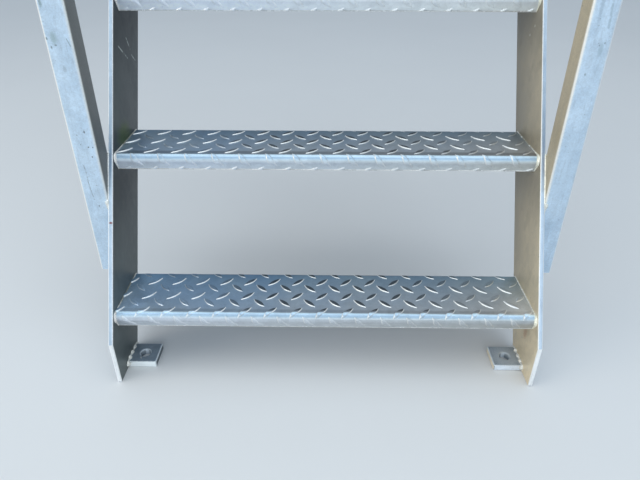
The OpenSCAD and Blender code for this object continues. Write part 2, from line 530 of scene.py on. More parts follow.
@dataclass(frozen=True)
class Zinc:
    """Weathered hot-dip zinc.

    Attributes:
        name: Name of the material.
        tone: Colour of the plain zinc.
        dull: Colour of its oxidised patches.
        bright: Colour of edges, where the zinc is thick and worn, and of the painted highlights on them.
        patch: Size of the patches, in metres.
        patches: How strong the patches are, 0 to 1.
        crystal: Size of the zinc's crystals, in metres.
        crystals: How strongly the crystals differ.
        grain: Stretch of the fine streaks along each axis.
        streaks: How strong the streaks are.
        specks: How strong the small dark specks are.
        metallic: Metallic share.
        roughness: Mean roughness.
        relief: Height of the surface's unevenness, in metres.
        flecks: How strong the fine flecks are.
        mottle: How strong the finest mottling is.
        speck: Colour of the specks.
        cut: Colour of the sawn ends that look straight ahead, pale sawn zinc with painted light, if it
            differs.
        painted_side_light: Painted light and shade on the faces that look inwards, if any.
        marks: Stains and scratches at their places, and patches of painted light and shade.
    """

    name: str
    tone: Colour
    dull: Colour
    bright: Colour = paint(226, 233, 238)
    patch: float = 0.07
    patches: float = 0.6
    crystal: float = 0.012
    crystals: float = 0.10
    grain: tuple[float, float, float] = (1.0, 1.0, 1.0)
    streaks: float = 0.15
    specks: float = 0.35
    metallic: float = 0.45
    roughness: float = 0.42
    relief: float = 0.00025
    flecks: float = 0.2
    mottle: float = 0.16
    speck: Colour = paint(92, 104, 116)
    cut: Colour | None = None
    painted_side_light: PaintedSideLight | None = None
    marks: tuple[StainAndPaintedLight | Scratch, ...] = ()

    def body(self, bench: Bench) -> Wire:
        """Colour of the zinc before worn edges, specks and stains, with painted light on the sawn ends and
        painted light and shade on the inward faces.

        Args:
            bench: Where the nodes are made.

        Returns:
            The colour.
        """
        clouds = bench.noise(self.patch, 5.0).step(0.38, 0.68)
        plain = bench.mix(self.tone, self.dull, clouds * self.patches)
        # Faces that look straight ahead: pale sawn zinc with painted light
        if self.cut:
            _, back, _ = bench.facet()
            plain = bench.mix(plain, self.cut, back.step(-0.90, -0.97))
        # Painted light and shade on the faces that look inwards
        return self.painted_side_light.over(bench, plain) if self.painted_side_light else plain

    def sheen(self, bench: Bench) -> Wire | float:
        """Metallic share of the surface."""
        return self.metallic

    def material(self) -> bpy.types.Material:
        """Makes the material.

        Returns:
            The material, ready for a piece.
        """
        made = bpy.data.materials.new(self.name)
        made.use_nodes = True
        bench = Bench(made.node_tree)
        crystals = bench.crystals(self.crystal)
        streaks = bench.noise(STREAK, 4.0, self.grain)
        fine = bench.noise(MOTTLE)
        wear = bench.painted("wear")
        tone = 1 + (crystals - 0.5) * self.crystals + (streaks - 0.5) * self.streaks * 2
        colour = bench.shade(self.body(bench), tone + (fine - 0.5) * self.mottle)
        colour = self._specked(bench, colour)
        # Worn edges with painted highlights take the bright colour
        colour = bench.mix(colour, self.bright, wear * (0.55 + fine * 0.6))
        for mark in self.marks:
            colour = bench.mix(colour, mark.colour, mark.cover(bench))
        rough = self.roughness + (streaks - 0.5) * 0.16 + (crystals - 0.5) * 0.06 - wear * 0.08
        uneven = bench.noise(WAVE, 2.0) + fine * 0.10 + streaks * 0.12
        relief = {"Strength": 0.5, "Distance": self.relief * 10, "Height": uneven}
        bench.coat(
            {
                "Base Color": colour,
                "Roughness": rough.most(0.12),
                "Metallic": self.sheen(bench),
                "Normal": bench.wire("ShaderNodeBump", {}, relief),
            }
        )
        return made

    def _specked(self, bench: Bench, colour: Wire) -> Wire:
        """Lays flecks and dark specks over a colour.

        Args:
            bench: Where the nodes are made.
            colour: Colour below.

        Returns:
            The colour with them.
        """
        small = bench.noise(FLECK, 2.0, self.grain).step(0.56, 0.72)
        flecked = bench.mix(colour, bench.shade(colour, 1 - small * 0.5), self.flecks)
        dots = bench.crystals(SPECK, "Distance").step(0.20, 0.08)
        kept = bench.noise(SPECKED, 2.0).step(0.50, 0.66)
        return bench.mix(flecked, self.speck, dots * kept * self.specks)


@dataclass(frozen=True)
class TreadZinc(Zinc):
    """Zinc on the treads: slate on the trodden top, paler on the nose and the flange, with painted light and
    shade.

    Attributes:
        warm: Colour of the top towards the right-hand side, a painted warm reflection.
        fore: How much lighter the top's front is, for each primary colour, as painted light.
        aft: The same for its back, darker as painted shade.
        band: Colours round the nose and down the flange, each with its turn in degrees: painted reflections.
        tear_shade_and_dirt: Colour on the tears, where dirt stays, deepened by painted shade.
        sunny: How much warmer the flange is towards the right-hand side, for each primary colour: painted
            warm light.
        dull_metallic: Metallic share of the nose and the flange.
    """

    warm: Colour = paint(138, 140, 136)
    fore: Colour = (1.62, 1.48, 1.38, 1.0)
    aft: Colour = (0.56, 0.70, 0.77, 1.0)
    band: tuple[tuple[float, Colour], ...] = (
        (12.0, paint(190, 209, 218)),
        (34.0, paint(178, 201, 217)),
        (55.0, paint(148, 173, 194)),
        (67.0, paint(166, 187, 201)),
        (78.0, paint(198, 212, 221)),
        (92.0, paint(204, 214, 224)),
        (108.0, paint(212, 220, 230)),
        (130.0, paint(212, 220, 230)),
        (170.0, paint(222, 230, 238)),
    )
    tear_shade_and_dirt: Colour = paint(34, 42, 44)
    sunny: Colour = (0.98, 0.955, 0.885, 1.0)
    dull_metallic: float = 0.28

    def body(self, bench: Bench) -> Wire:
        """Colour of the tread before worn edges, specks and marks, with its painted light, shade and
        highlights.

        Args:
            bench: Where the nodes are made.

        Returns:
            The colour.
        """
        across, _, _ = bench.spot
        side = (across + (bench.noise(0.16) - 0.5) * 0.5).step(-0.30, 0.36)
        top = self._top(bench, side)
        colour = bench.mix(top, self._front(bench, side), bench.painted("nose"))
        # Dark tears, mostly across the middle of the tread: dirt deepened by painted shade
        middle = across.step(-0.26, -0.09) * across.step(0.37, 0.10)
        colour = bench.mix(colour, self.tear_shade_and_dirt, bench.painted("lee") * (0.04 + middle * 0.92))
        # Painted highlights on the tears' rims and on the nose
        return bench.mix(colour, self.bright, bench.painted("crest"))

    def _top(self, bench: Bench, side: Wire) -> Wire:
        """Colour of the trodden top: slate at the back, paler in front and at the ends, as painted light and
        shade.

        Args:
            bench: Where the nodes are made.
            side: How far to the right it is, 0 to 1.

        Returns:
            The colour.
        """
        across, _, height = bench.spot
        depth = bench.painted("depth")
        clouds = bench.noise(self.patch, 5.0).step(0.36, 0.70)
        top = bench.mix(self.tone, self.dull, clouds * self.patches)
        # Warmer to the right: a painted warm reflection
        top = bench.mix(top, self.warm, side * 0.85)
        # Lighter in front, darker and bluer at the back: painted light and shade
        top = top * bench.mix(self.fore, self.aft, depth + (bench.noise(0.05) - 0.5) * 0.15)
        # Higher treads painted darker, the ends by the sides painted lighter against the shade there, and a
        # strip just behind the nose darker
        upper = height.step(0.15, 0.34)
        ledge = depth.step(0.118, 0.068)
        ends = abs(across).step(0.265, 0.335) * (0.40 - upper * 0.30)
        return bench.shade(top, 1 + ends - upper * 0.10 - ledge * (0.24 + upper * 0.16))

    def _front(self, bench: Bench, side: Wire) -> Wire:
        """Painted reflections round the nose and down the flange, warmer to the right and darker on low
        treads.

        Args:
            bench: Where the nodes are made.
            side: How far to the right it is, 0 to 1.

        Returns:
            The colour.
        """
        across, _, height = bench.spot
        turn = bench.painted("turn")
        stops = [(degrees / FULL_TURN, colour) for degrees, colour in self.band]
        uneven = (bench.noise(0.05, 2.0, (3, 1, 1)) - 0.5) * 0.03
        # Bands of painted reflection, by the turn round the nose
        band = bench.wire("ShaderNodeValToRGB", {"stops": stops}, {"Fac": turn + uneven})
        # Painted light and shade: on low treads the start of the nose lighter and the flange darker, most of
        # all to the right
        front = turn.step(0.26, 0.40)
        begin = turn.step(0.21, 0.13)
        low = height.step(0.66, 0.02)
        wide = abs(across).step(0.12, 0.34)
        lowest = height.step(0.40, 0.10) * (begin * 0.56 - (1 - front) * (0.17 - wide * 0.14))
        band = bench.shade(band, 1.14 + lowest + front * (0.12 - low * (0.54 + across * 0.35)))
        # The flange warmer to the right: painted warm light
        return bench.mix(band, band * self.sunny[:3], side * front)

    def sheen(self, bench: Bench) -> Wire | float:
        """Metallic share: the nose, the flange and the painted highlights are duller than the trodden top.
        """
        dull = bench.painted("nose").most(bench.painted("crest"))
        return self.metallic - dull * (self.metallic - self.dull_metallic)


# Meshes

# Parts of a rounded edge, and of the way round a tube or a hole
EDGE_STEPS = 4
ROUND_STEPS = 40


class Shell:
    """Points and faces of one mesh under construction, with a value at each point for worn zinc and painted
    highlight.
    """

    def __init__(self) -> None:
        """Starts empty."""
        self.points: list[Vector] = []
        self.wear: list[float] = []
        self.faces: list[Face] = []

    def add(self, points: Iterable[Sequence[float]], wear: float = 0.0) -> list[int]:
        """Adds points.

        Args:
            points: Their places, in metres.
            wear: How bright the zinc is painted there, for worn zinc and painted highlight, 0 to 1.

        Returns:
            Their numbers.
        """
        start = len(self.points)
        self.points.extend(Vector(p) for p in points)
        self.wear.extend([wear] * (len(self.points) - start))
        return list(range(start, len(self.points)))

    def bridge(self, one: Sequence[int], other: Sequence[int], closed: bool = True) -> None:
        """Joins two rows of the same number of points by quads.

        Args:
            one: Numbers of the first row's points.
            other: Numbers of the second row's points.
            closed: Whether the rows run round.
        """
        count = len(one)
        for i in range(count if closed else count - 1):
            j = (i + 1) % count
            self.faces.append((one[i], one[j], other[j], other[i]))

    def skin(self, rings: Sequence[Sequence[int]]) -> None:
        """Joins each ring to the next."""
        for one, other in zip(rings, rings[1:]):
            self.bridge(one, other)

    def cap(self, *rings: Sequence[int]) -> None:
        """Closes each ring by one face."""
        self.faces.extend(tuple(ring) for ring in rings)

    def fill(
        self, outside: Sequence[int], holes: Sequence[Sequence[int]], flat: Callable[[Vector], Point2]
    ) -> None:
        """Fills a flat face with round holes in it.

        Args:
            outside: Ring of points round the face, convex.
            holes: Rings of points round its holes.
            flat: Gives a point's place in the plane of the face.
        """
        rings = [list(outside), *map(list, holes)]
        numbers = [n for ring in rings for n in ring]
        places = [Vector(flat(self.points[n])) / MM for n in numbers]
        edges, start = [], 0
        for ring in rings:
            edges += [(start + i, start + (i + 1) % len(ring)) for i in range(len(ring))]
            start += len(ring)
        middles = []
        for ring in holes:
            around = [Vector(flat(self.points[n])) / MM for n in ring]
            middle = sum(around, Vector((0, 0))) / len(around)
            middles.append((middle, (around[0] - middle).length))
        found = delaunay_2d_cdt(places, edges, [], 0, 1e-5)
        for face in found[2]:
            centre = sum((found[0][i] for i in face), Vector((0, 0))) / len(face)
            if all((centre - middle).length > radius * 0.98 for middle, radius in middles):
                self.faces.append(tuple(numbers[found[3][i][0]] for i in face))

    def join(self, other: "Shell") -> None:
        """Takes in another shell.

        Args:
            other: The shell.
        """
        start = len(self.points)
        self.points.extend(other.points)
        self.wear.extend(other.wear)
        self.faces.extend(tuple(i + start for i in face) for face in other.faces)

    def mesh(self, name: str, crease: float = 32.0) -> bpy.types.Mesh:
        """Makes the mesh, with its faces turned outwards and smooth up to an angle.

        Args:
            name: The mesh's name.
            crease: Angle at which an edge stays sharp, in degrees.

        Returns:
            The mesh.
        """
        made = bpy.data.meshes.new(name)
        made.from_pydata(self.points, [], self.faces, shade_flat=False)
        wear = made.attributes.new("wear", "FLOAT", "POINT")
        wear.data.foreach_set("value", self.wear)
        turned = bmesh.new()
        turned.from_mesh(made)
        bmesh.ops.recalc_face_normals(turned, faces=turned.faces)
        turned.to_mesh(made)
        turned.free()
        made.set_sharp_from_angle(angle=math.radians(crease))
        return made


@dataclass
class SubAssembly:
    """Pieces of one kind that share one zinc.

    Attributes:
        finish: Their zinc.
    """

    finish: Zinc

    def meshes(self) -> Meshes:
        """Makes the meshes: each with its slot and the solid that it stands for, or "" for none."""
        raise NotImplementedError

    def build(self) -> list[bpy.types.Object]:
        """Builds the pieces, which ride on the flight, and dresses them.

        Returns:
            The pieces.
        """
        zinc = self.finish.material()
        made = []
        for mesh, slot, node in self.meshes():
            mesh.materials.append(zinc)
            piece = bpy.data.objects.new(mesh.name, mesh)
            bpy.context.scene.collection.objects.link(piece)
            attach(piece, BODY)
            if node:
                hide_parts(node)
            made.append(piece)
        return made


def line(start: Vector, end: Vector, parts: int) -> list[Vector]:
    """Points that cut a straight line into equal parts, with both ends."""
    return [start.lerp(end, k / parts) for k in range(parts + 1)]


def oblong(low: Point2, high: Point2) -> tuple[Point2, ...]:
    """Corners of an oblong, anticlockwise."""
    return low, (high[0], low[1]), high, (low[0], high[1])


def headings(corners: Sequence[Vector], number: int) -> tuple[Vector, Vector]:
    """Directions of the two sides that meet at a corner."""
    here, ahead = corners[number], corners[(number + 1) % len(corners)]
    return (here - corners[number - 1]).normalized(), (ahead - here).normalized()


def inset(outline: Sequence[Point2], amount: float) -> list[Point2]:
    """Moves each side of a convex outline inwards.

    Args:
        outline: Corners, anticlockwise.
        amount: Distance.

    Returns:
        The smaller outline, corner for corner.
    """
    corners = [Vector(c) for c in outline]
    moved = []
    for i, here in enumerate(corners):
        before, after = headings(corners, i)
        normal_a, normal_b = Vector((-before.y, before.x)), Vector((-after.y, after.x))
        shift = (normal_a + normal_b) * (amount / (1 + normal_a.dot(normal_b)))
        moved.append(tuple(here + shift))
    return moved


def round_corners(outline: Sequence[Point2], radius: float, steps: int = 5) -> list[Point2]:
    """Rounds each corner of a convex outline.

    Args:
        outline: Corners, anticlockwise.
        radius: Radius of the new corners.
        steps: Number of short sides at each corner.

    Returns:
        The rounded outline.
    """
    corners = [Vector(c) for c in outline]
    made = []
    for i, here in enumerate(corners):
        before, after = headings(corners, i)
        turn = math.acos(max(-1.0, min(1.0, before.dot(after))))
        inward = (after - before).normalized()
        centre = here + inward * (radius / math.cos(turn / 2))
        first = Vector((before.y, -before.x))
        start = math.atan2(first.y, first.x)
        for k in range(steps + 1):
            angle = start + turn * k / steps
            made.append((centre.x + radius * math.cos(angle), centre.y + radius * math.sin(angle)))
    return made


def ring_of(radius: float, count: int, centre: Point2 = (0.0, 0.0)) -> list[Point2]:
    """Points round a circle."""
    turns = [2 * math.pi * k / count for k in range(count)]
    return [(centre[0] + radius * math.cos(a), centre[1] + radius * math.sin(a)) for a in turns]


@dataclass(frozen=True)
class Hole:
    """A bolt hole through a plate.

    Attributes:
        centre: Its centre in the plate's plane.
        radius: Its radius.
        chamfer: Depth of the chamfer on its upper rim.
    """

    centre: Point2
    radius: float
    chamfer: float = 0.0006


@dataclass(frozen=True)
class Plate:
    """A flat plate or bar with rounded edges and round holes.

    Attributes:
        outline: Corners in the plate's plane, anticlockwise, convex.
        thickness: Thickness.
        edge: Radius of the long edges.
        corner: Radius of the corners in the plate's plane.
        holes: Bolt holes.
    """

    outline: tuple[Point2, ...]
    thickness: float
    edge: float = 0.0012
    corner: float = 0.0016
    holes: tuple[Hole, ...] = ()

    def shell(self, place: Place) -> Shell:
        """Builds the plate.

        Args:
            place: Gives the place in the frame of a point in the plane and its height.

        Returns:
            The closed shell.
        """
        made = Shell()
        outline = round_corners(self.outline, self.corner)
        turns = [math.pi / 2 * k / EDGE_STEPS for k in range(EDGE_STEPS + 1)]
        rings, holes = [], [[] for _ in self.holes]
        for top in (False, True):
            for angle in turns if top else turns[::-1]:
                low = self.edge * (1 - math.sin(angle))
                height = self.thickness - low if top else low
                around = inset(outline, self.edge * (1 - math.cos(angle)))
                # The rounded edges are painted bright: worn zinc with a painted highlight
                wear = 0.0 if angle in (turns[0], turns[-1]) else 1.0
                rings.append(made.add((place(u, v, height) for u, v in around), wear))
        for number, hole in enumerate(self.holes):
            # The chamfer's rim is painted bright in the same way
            for height, grow, wear in (
                (0.0, 0.0, 0.0),
                (self.thickness - hole.chamfer, 0.0, 0.5),
                (self.thickness - hole.chamfer * 0.5, hole.chamfer * 0.5, 1.0),
                (self.thickness, hole.chamfer, 0.0),
            ):
                around = ring_of(hole.radius + grow, ROUND_STEPS, hole.centre)
                holes[number].append(made.add((place(u, v, height) for u, v in around), wear))
        made.skin(rings)
        for ladder in holes:
            made.skin(ladder)
        origin, along, across = (Vector(place(u, v, 0.0)) for u, v in ((0, 0), (1, 0), (0, 1)))

        def flat(point: Vector) -> Point2:
            """Place of a point in the plate's plane."""
            return (point - origin).dot(along - origin), (point - origin).dot(across - origin)

        made.fill(rings[0], [ladder[0] for ladder in holes], flat)
        made.fill(rings[-1], [ladder[-1] for ladder in holes], flat)
        return made


# Rows of a weld bead between two changes of the welder's hand
WAVER_ROWS = 6


@dataclass(frozen=True)
class Bead:
    """A weld bead with overlapping ripples.

    Attributes:
        leg: Size of the bead on each of the two surfaces, in metres.
        ripple: Length of a ripple, in metres.
        depth: How strongly the ripples swell, as a share of the leg.
        lump: Length of the welder's slower strokes, in metres.
        stroke: How strongly these strokes swell, as a share of the leg.
        crown: How far the face of the bead stands out, 0 flat and 1 full.
    """

    leg: float = 0.003
    ripple: float = 0.0026
    depth: float = 0.16
    lump: float = 0.013
    stroke: float = 0.0
    crown: float = 0.55

    def run(
        self,
        seed: int,
        path: Sequence[Vector],
        first: Vector | Sequence[Vector],
        second: Vector | Sequence[Vector],
        closed: bool = False,
        sizes: Callable[[float], float] = lambda share: 1.0,
    ) -> Shell:
        """Lays the bead along a path.

        Args:
            seed: Start of its random numbers.
            path: Points at the root of the weld.
            first: Direction of the leg on one surface, one for all or one for each point.
            second: Direction of the leg on the other surface, in the same way.
            closed: Whether the path ends where it began.
            sizes: Gives the bead's size at a share of its length.

        Returns:
            The closed shell.
        """
        draw = random.Random(seed)
        legs = [[leg] * len(path) if isinstance(leg, Vector) else leg for leg in (first, second)]
        rows = self._even(path, *legs)
        waver = [draw.uniform(-1, 1) for _ in range(len(rows) // WAVER_ROWS + 4)]
        made, rings = Shell(), []
        last = len(rows) - 1
        for k, (at, leg_a, leg_b, length) in enumerate(rows):
            phase = length / self.ripple
            swell = 1 + self.depth * (2 * abs(math.sin(math.pi * phase)) ** 0.6 - 1.2)
            number, share = divmod(k / WAVER_ROWS, 1)
            slow = waver[int(number)] * (1 - share) + waver[int(number) + 1] * share
            pulse = 1 + self.stroke * (2 * abs(math.sin(math.pi * length / self.lump)) ** 2 - 1)
            size = self.leg * swell * pulse * (1 + 0.14 * slow) * sizes(k / last)
            if not closed and k in (0, last):
                size *= 0.45
            drift = (leg_a - leg_b) * (0.05 * slow * self.leg)
            bulge = (leg_a + leg_b) * (0.5 + 0.38 * self.crown)
            section = [at - (leg_a + leg_b) * 0.12 * size]
            for t in (0.0, 0.22, 0.5, 0.78, 1.0):
                spot = leg_a * (1 - t) ** 2 + bulge * 2 * t * (1 - t) + leg_b * t**2
                section.append(at + drift + spot * size)
            # The bead is painted bright: worn zinc with a painted highlight
            rings.append(made.add(section, 0.85))
        if closed:
            made.skin([*rings[:-1], rings[0]])
        else:
            made.skin(rings)
            made.cap(rings[0], rings[-1])
        return made

    def _even(
        self, path: Sequence[Vector], first: Sequence[Vector], second: Sequence[Vector]
    ) -> list[tuple[Vector, Vector, Vector, float]]:
        """Spaces the points of a path evenly, a few to each ripple.

        Args:
            path: Points at the root of the weld.
            first: Direction of one leg, at each point.
            second: Direction of the other leg, at each point.

        Returns:
            Point, both legs and length so far, for each new point.
        """
        lengths = [0.0]
        for one, other in zip(path, path[1:]):
            lengths.append(lengths[-1] + (other - one).length)
        count = max(3, round(lengths[-1] / (self.ripple / 3)))
        rows, here = [], 0
        for k in range(count + 1):
            length = lengths[-1] * k / count
            while here < len(path) - 2 and lengths[here + 1] < length:
                here += 1
            span = lengths[here + 1] - lengths[here]
            share = (length - lengths[here]) / span if span else 0.0
            at, leg_a, leg_b = (row[here].lerp(row[here + 1], share) for row in (path, first, second))
            rows.append((at, leg_a.normalized(), leg_b.normalized(), length))
        return rows


def spatter(spots: Iterable[tuple[Vector, Vector, float]]) -> Shell:
    """Small drops of weld metal.

    Args:
        spots: Place, direction of the surface and radius of each drop.

    Returns:
        The drops.
    """
    made = Shell()
    for at, normal, radius in spots:
        side = normal.orthogonal().normalized()
        other = normal.cross(side)
        rings = []
        for height, width in ((-0.25, 0.9), (0.05, 1.0), (0.4, 0.8), (0.62, 0.4)):
            around = ring_of(radius * width, 8)
            rings.append(made.add(at + side * u + other * v + normal * (height * radius) for u, v in around))
        made.skin(rings)
        made.cap(rings[0], rings[-1])
    # The drops are painted bright: worn zinc with a painted highlight
    made.wear = [1.0] * len(made.points)
    return made


# The treads


@dataclass(frozen=True)
class Stretch:
    """One stretch of a folded section: straight, or an arc that turns clockwise.

    Attributes:
        length: Its length, in metres.
        turn: How far it turns, in radians.
        steps: Into how many parts it is cut.
    """

    length: float
    turn: float = 0.0
    steps: int = 1


class FoldedSection:
    """Outer line of a folded plate in the Y, Z plane, walked with the open side on the left."""

    def __init__(self, start: Point2, heading: float, stretches: Sequence[Stretch], zero: int) -> None:
        """Lays the stretches end to end.

        Args:
            start: Where the line begins.
            heading: Direction in which it begins, in radians.
            stretches: The stretches, in order.
            zero: Number of the stretch at whose beginning the length counts as 0.
        """
        self.stretches = list(stretches)
        self.marks: list[tuple[float, np.ndarray, float]] = []
        at, angle, length = np.array(start), heading, -sum(s.length for s in stretches[:zero])
        for stretch in self.stretches:
            self.marks.append((length, at, angle))
            (at,), (angle,) = self._walk(at, angle, stretch, np.array([stretch.length]))
            length += stretch.length
        self.start, self.end = self.marks[0][0], length

    @staticmethod
    def _walk(
        at: np.ndarray, angle: float, stretch: Stretch, gone: np.ndarray
    ) -> tuple[np.ndarray, np.ndarray]:
        """Goes some way along a stretch.

        Args:
            at: Where the stretch begins.
            angle: Direction in which it begins, in radians.
            stretch: The stretch.
            gone: How far to go, for each point.

        Returns:
            The points reached and the directions there.
        """
        if not stretch.turn:
            return at + gone[:, None] * np.array([math.cos(angle), math.sin(angle)]), gone * 0 + angle
        radius = stretch.length / stretch.turn
        centre = at + radius * np.array([math.sin(angle), -math.cos(angle)])
        turned = angle - gone / radius
        return centre + radius * np.stack([-np.sin(turned), np.cos(turned)], 1), turned

    def at(self, lengths: np.ndarray) -> tuple[np.ndarray, np.ndarray, np.ndarray, np.ndarray]:
        """Looks up places on the line.

        Args:
            lengths: Lengths along it.

        Returns:
            Points, directions, outward directions and curvatures, one row for each length.
        """
        count, last = len(lengths), len(self.marks) - 1
        points, heads, bends = np.zeros((count, 2)), np.zeros(count), np.zeros(count)
        for number, (stretch, (begin, at, angle)) in enumerate(zip(self.stretches, self.marks)):
            low = begin if number else -np.inf
            high = begin + stretch.length if number < last else np.inf
            here = (lengths >= low) & (lengths < high)
            points[here], heads[here] = self._walk(at, angle, stretch, lengths[here] - begin)
            bends[here] = stretch.turn / stretch.length
        along = np.stack([np.cos(heads), np.sin(heads)], 1)
        outward = np.stack([-np.sin(heads), np.cos(heads)], 1)
        return points, along, outward, bends

    def rolled(self, depth: float) -> tuple[np.ndarray, np.ndarray]:
        """Lengths at the ends of the stretches, on the outside and in the plate before folding.

        Args:
            depth: How far below the outside the plate keeps its length, in metres.

        Returns:
            Both rows of lengths, which count from the same place.
        """
        outer = np.array([mark[0] for mark in self.marks] + [self.end])
        bends = [depth * s.turn / s.length for s in self.stretches]
        shares = [1 - bend if bend < 1 else 0.1 for bend in bends]
        flat = np.concatenate([[0.0], np.cumsum(np.diff(outer) * shares)])
        return outer, flat - np.interp(0.0, outer, flat)

    def cuts(self) -> list[float]:
        """Finds where the line is cut into parts.

        Returns:
            Lengths along it.
        """
        found = []
        for stretch, (begin, _, _) in zip(self.stretches, self.marks):
            found += [begin + stretch.length * k / stretch.steps for k in range(stretch.steps)]
        return [*found, self.end]


# Lines of equal height round each tear, as shares of its flank, and the parts of each line's half
TEAR_LINES = (1.0, 0.88, 0.72, 0.4)
TEAR_STEPS = 14


@dataclass(frozen=True)
class TearRow:
    """One family of tears.

    Attributes:
        lean: Direction of a tear from the X axis, in radians.
        across: Place of one of them along X, in metres.
        along: Place of the same one along the section, in metres.
    """

    lean: float
    across: float
    along: float


@dataclass(frozen=True)
class TearPattern:
    """Rolled pattern of lens-shaped tears in two directions.

    Attributes:
        pitch: Distance from tear to tear along X.
        row: Distance from row to row of the same family.
        rows: The two families.
        reach: Half the length of a tear.
        width: Half the width of a tear.
        flank: Width over which a tear rises from its edge.
        height: Height of a tear.
        band: How much higher up the nose its band of painted reflection lies, in radians.
    """

    pitch: float
    row: float
    rows: tuple[TearRow, TearRow]
    reach: float = 0.0152
    width: float = 0.0046
    flank: float = 0.0043
    height: float = 0.0019
    band: float = 0.0

    def survey(self, across: np.ndarray, along: np.ndarray) -> tuple[np.ndarray, np.ndarray, np.ndarray]:
        """Looks up the tears.

        Args:
            across: Places along X.
            along: Places along the section.

        Returns:
            Heights above the plate, places from the tear's middle (0) to its near (-1) or far (1) edge,
            and the direction in which the tear leans (1 to the right, -1 to the left, 0 off the tears).
        """
        lifted, edge, lean = (np.zeros(len(across)) for _ in range(3))
        for row in self.rows:
            du = across - row.across
            dv = along - row.along
            du = du - self.pitch * np.round(du / self.pitch)
            dv = dv - self.row * np.round(dv / self.row)
            cos, sin = math.cos(row.lean), math.sin(row.lean)
            u = (du * cos + dv * sin) / self.reach
            v = -du * sin + dv * cos
            taper = np.clip(1 - u * u, 1e-9, 1)
            gap = self.width * taper - np.abs(v)
            share = np.clip(1 - gap / self.flank, 0, 1)
            inside = (np.abs(u) < 1) & (gap > 0)
            rise = self.height * taper**0.3 * (1 - share**5)
            lifted = np.where(inside, np.maximum(lifted, rise), lifted)
            edge = np.where(inside, np.maximum(share, 1e-6) * np.sign(v), edge)
            lean = np.where(inside, np.sign(row.lean), lean)
        return lifted, edge, lean

    def outlines(self, half: float, low: float, high: float) -> list[list[Point2]]:
        """Lines that the mesh has to follow.

        Args:
            half: Half the plate's width along X.
            low: Lowest length along the section.
            high: Highest length along the section.

        Returns:
            Points of each closed line.
        """
        lines = []
        ticks = [math.cos(math.pi * k / TEAR_STEPS) for k in range(TEAR_STEPS + 1)]
        for row in self.rows:
            cos, sin = math.cos(row.lean), math.sin(row.lean)
            for i in self._steps(row.across, self.pitch, -half, half):
                for j in self._steps(row.along, self.row, low, high):
                    x0, s0 = row.across + i * self.pitch, row.along + j * self.row
                    if abs(x0) > half + self.reach or not low - self.reach < s0 < high + self.reach:
                        continue
                    for share in TEAR_LINES:
                        gap = (1 - share) * self.flank
                        end = math.sqrt(1 - gap / self.width)
                        above = [(self.reach * end * t, (self.width - gap) * (1 - t * t)) for t in ticks]
                        ring = above + [(u, -v) for u, v in reversed(above[1:-1])]
                        lines.append([(x0 + u * cos - v * sin, s0 + u * sin + v * cos) for u, v in ring])
        return lines

    @staticmethod
    def _steps(start: float, step: float, low: float, high: float) -> range:
        """Numbers of the steps from a start that reach over a span."""
        return range(math.floor((low - start) / step), math.ceil((high - start) / step) + 1)


# Stretches of a tread's section, by their number
FRONT_FLANGE = 3
TOP = 5
BACK_FOLD = 6
BACK_EDGE = 8
# Width over which the tears end before a sheared edge, and step for measuring slopes, in metres
FADE = 0.0015
TINY_STEP = 2e-5
# Width over which the bright lower edge ends, in metres
LIT_WORN_EDGE_END = 0.0004
# Distance below which two points are one, in metres
SAME = 1e-7


@dataclass
class TreadPlates(SubAssembly):
    """The folded tear-plate treads.

    Attributes:
        plate: Thickness of the plate.
        fold: Outer radius of the folds.
        lean: How far the front flange is folded back from the plumb, in radians.
        back_flange: Height of the back flange.
        burr: Radius of the sheared edges.
        lit_worn_edge: Height up to which the front flange's lower edge is painted bright, as worn zinc with
            a painted highlight.
        patterns: Tear pattern of each tread.
    """

    plate: float = 0.004
    fold: float = 0.009
    lean: float = math.radians(28)
    back_flange: float = 0.025
    burr: float = 0.0011
    lit_worn_edge: float = 0.0022
    patterns: tuple[TearPattern, ...] = ()

    def section(self, low: Vector, high: Vector) -> FoldedSection:
        """Outer line of one tread.

        Args:
            low: Lowest corner of the tread's box.
            high: Highest corner of the tread's box.

        Returns:
            The section, from the lower edge of the front flange to that of the back flange.
        """
        drop = high.z - low.z
        flange = (drop - self.fold * (1 + math.sin(self.lean))) / math.cos(self.lean)
        heading = math.pi / 2 + self.lean
        outward = np.array([-math.sin(heading), math.cos(heading)])
        down = -np.array([math.cos(heading), math.sin(heading)])
        nose = np.array([low.y + self.fold, high.z - self.fold])
        inner = nose + outward * (self.fold - self.plate) + down * (flange - self.burr)
        edge = Stretch(self.burr * math.pi / 2, math.pi / 2, 3)
        face = Stretch(self.plate - 2 * self.burr)
        stretches = [
            edge,
            face,
            edge,
            Stretch(flange - self.burr),
            Stretch(self.fold * heading, heading, 16),
            Stretch(high.y - low.y - 2 * self.fold),
            Stretch(self.fold * math.pi / 2, math.pi / 2, 8),
            Stretch(self.back_flange - self.fold - self.burr),
            edge,
            face,
            edge,
        ]
        return FoldedSection(tuple(inner), heading + math.pi, stretches, TOP)

    def meshes(self) -> Meshes:
        """Makes the treads, lowest first.

        Returns:
            Each mesh with its slot and node.
        """
        for number, pattern in enumerate(self.patterns, 1):
            node = f"tread_{number}"
            low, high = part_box(node)
            sheet = TreadSheet(self, self.section(low, high), pattern, high.x)
            yield sheet.mesh(f"{node}_plate"), Slot.TREAD, node


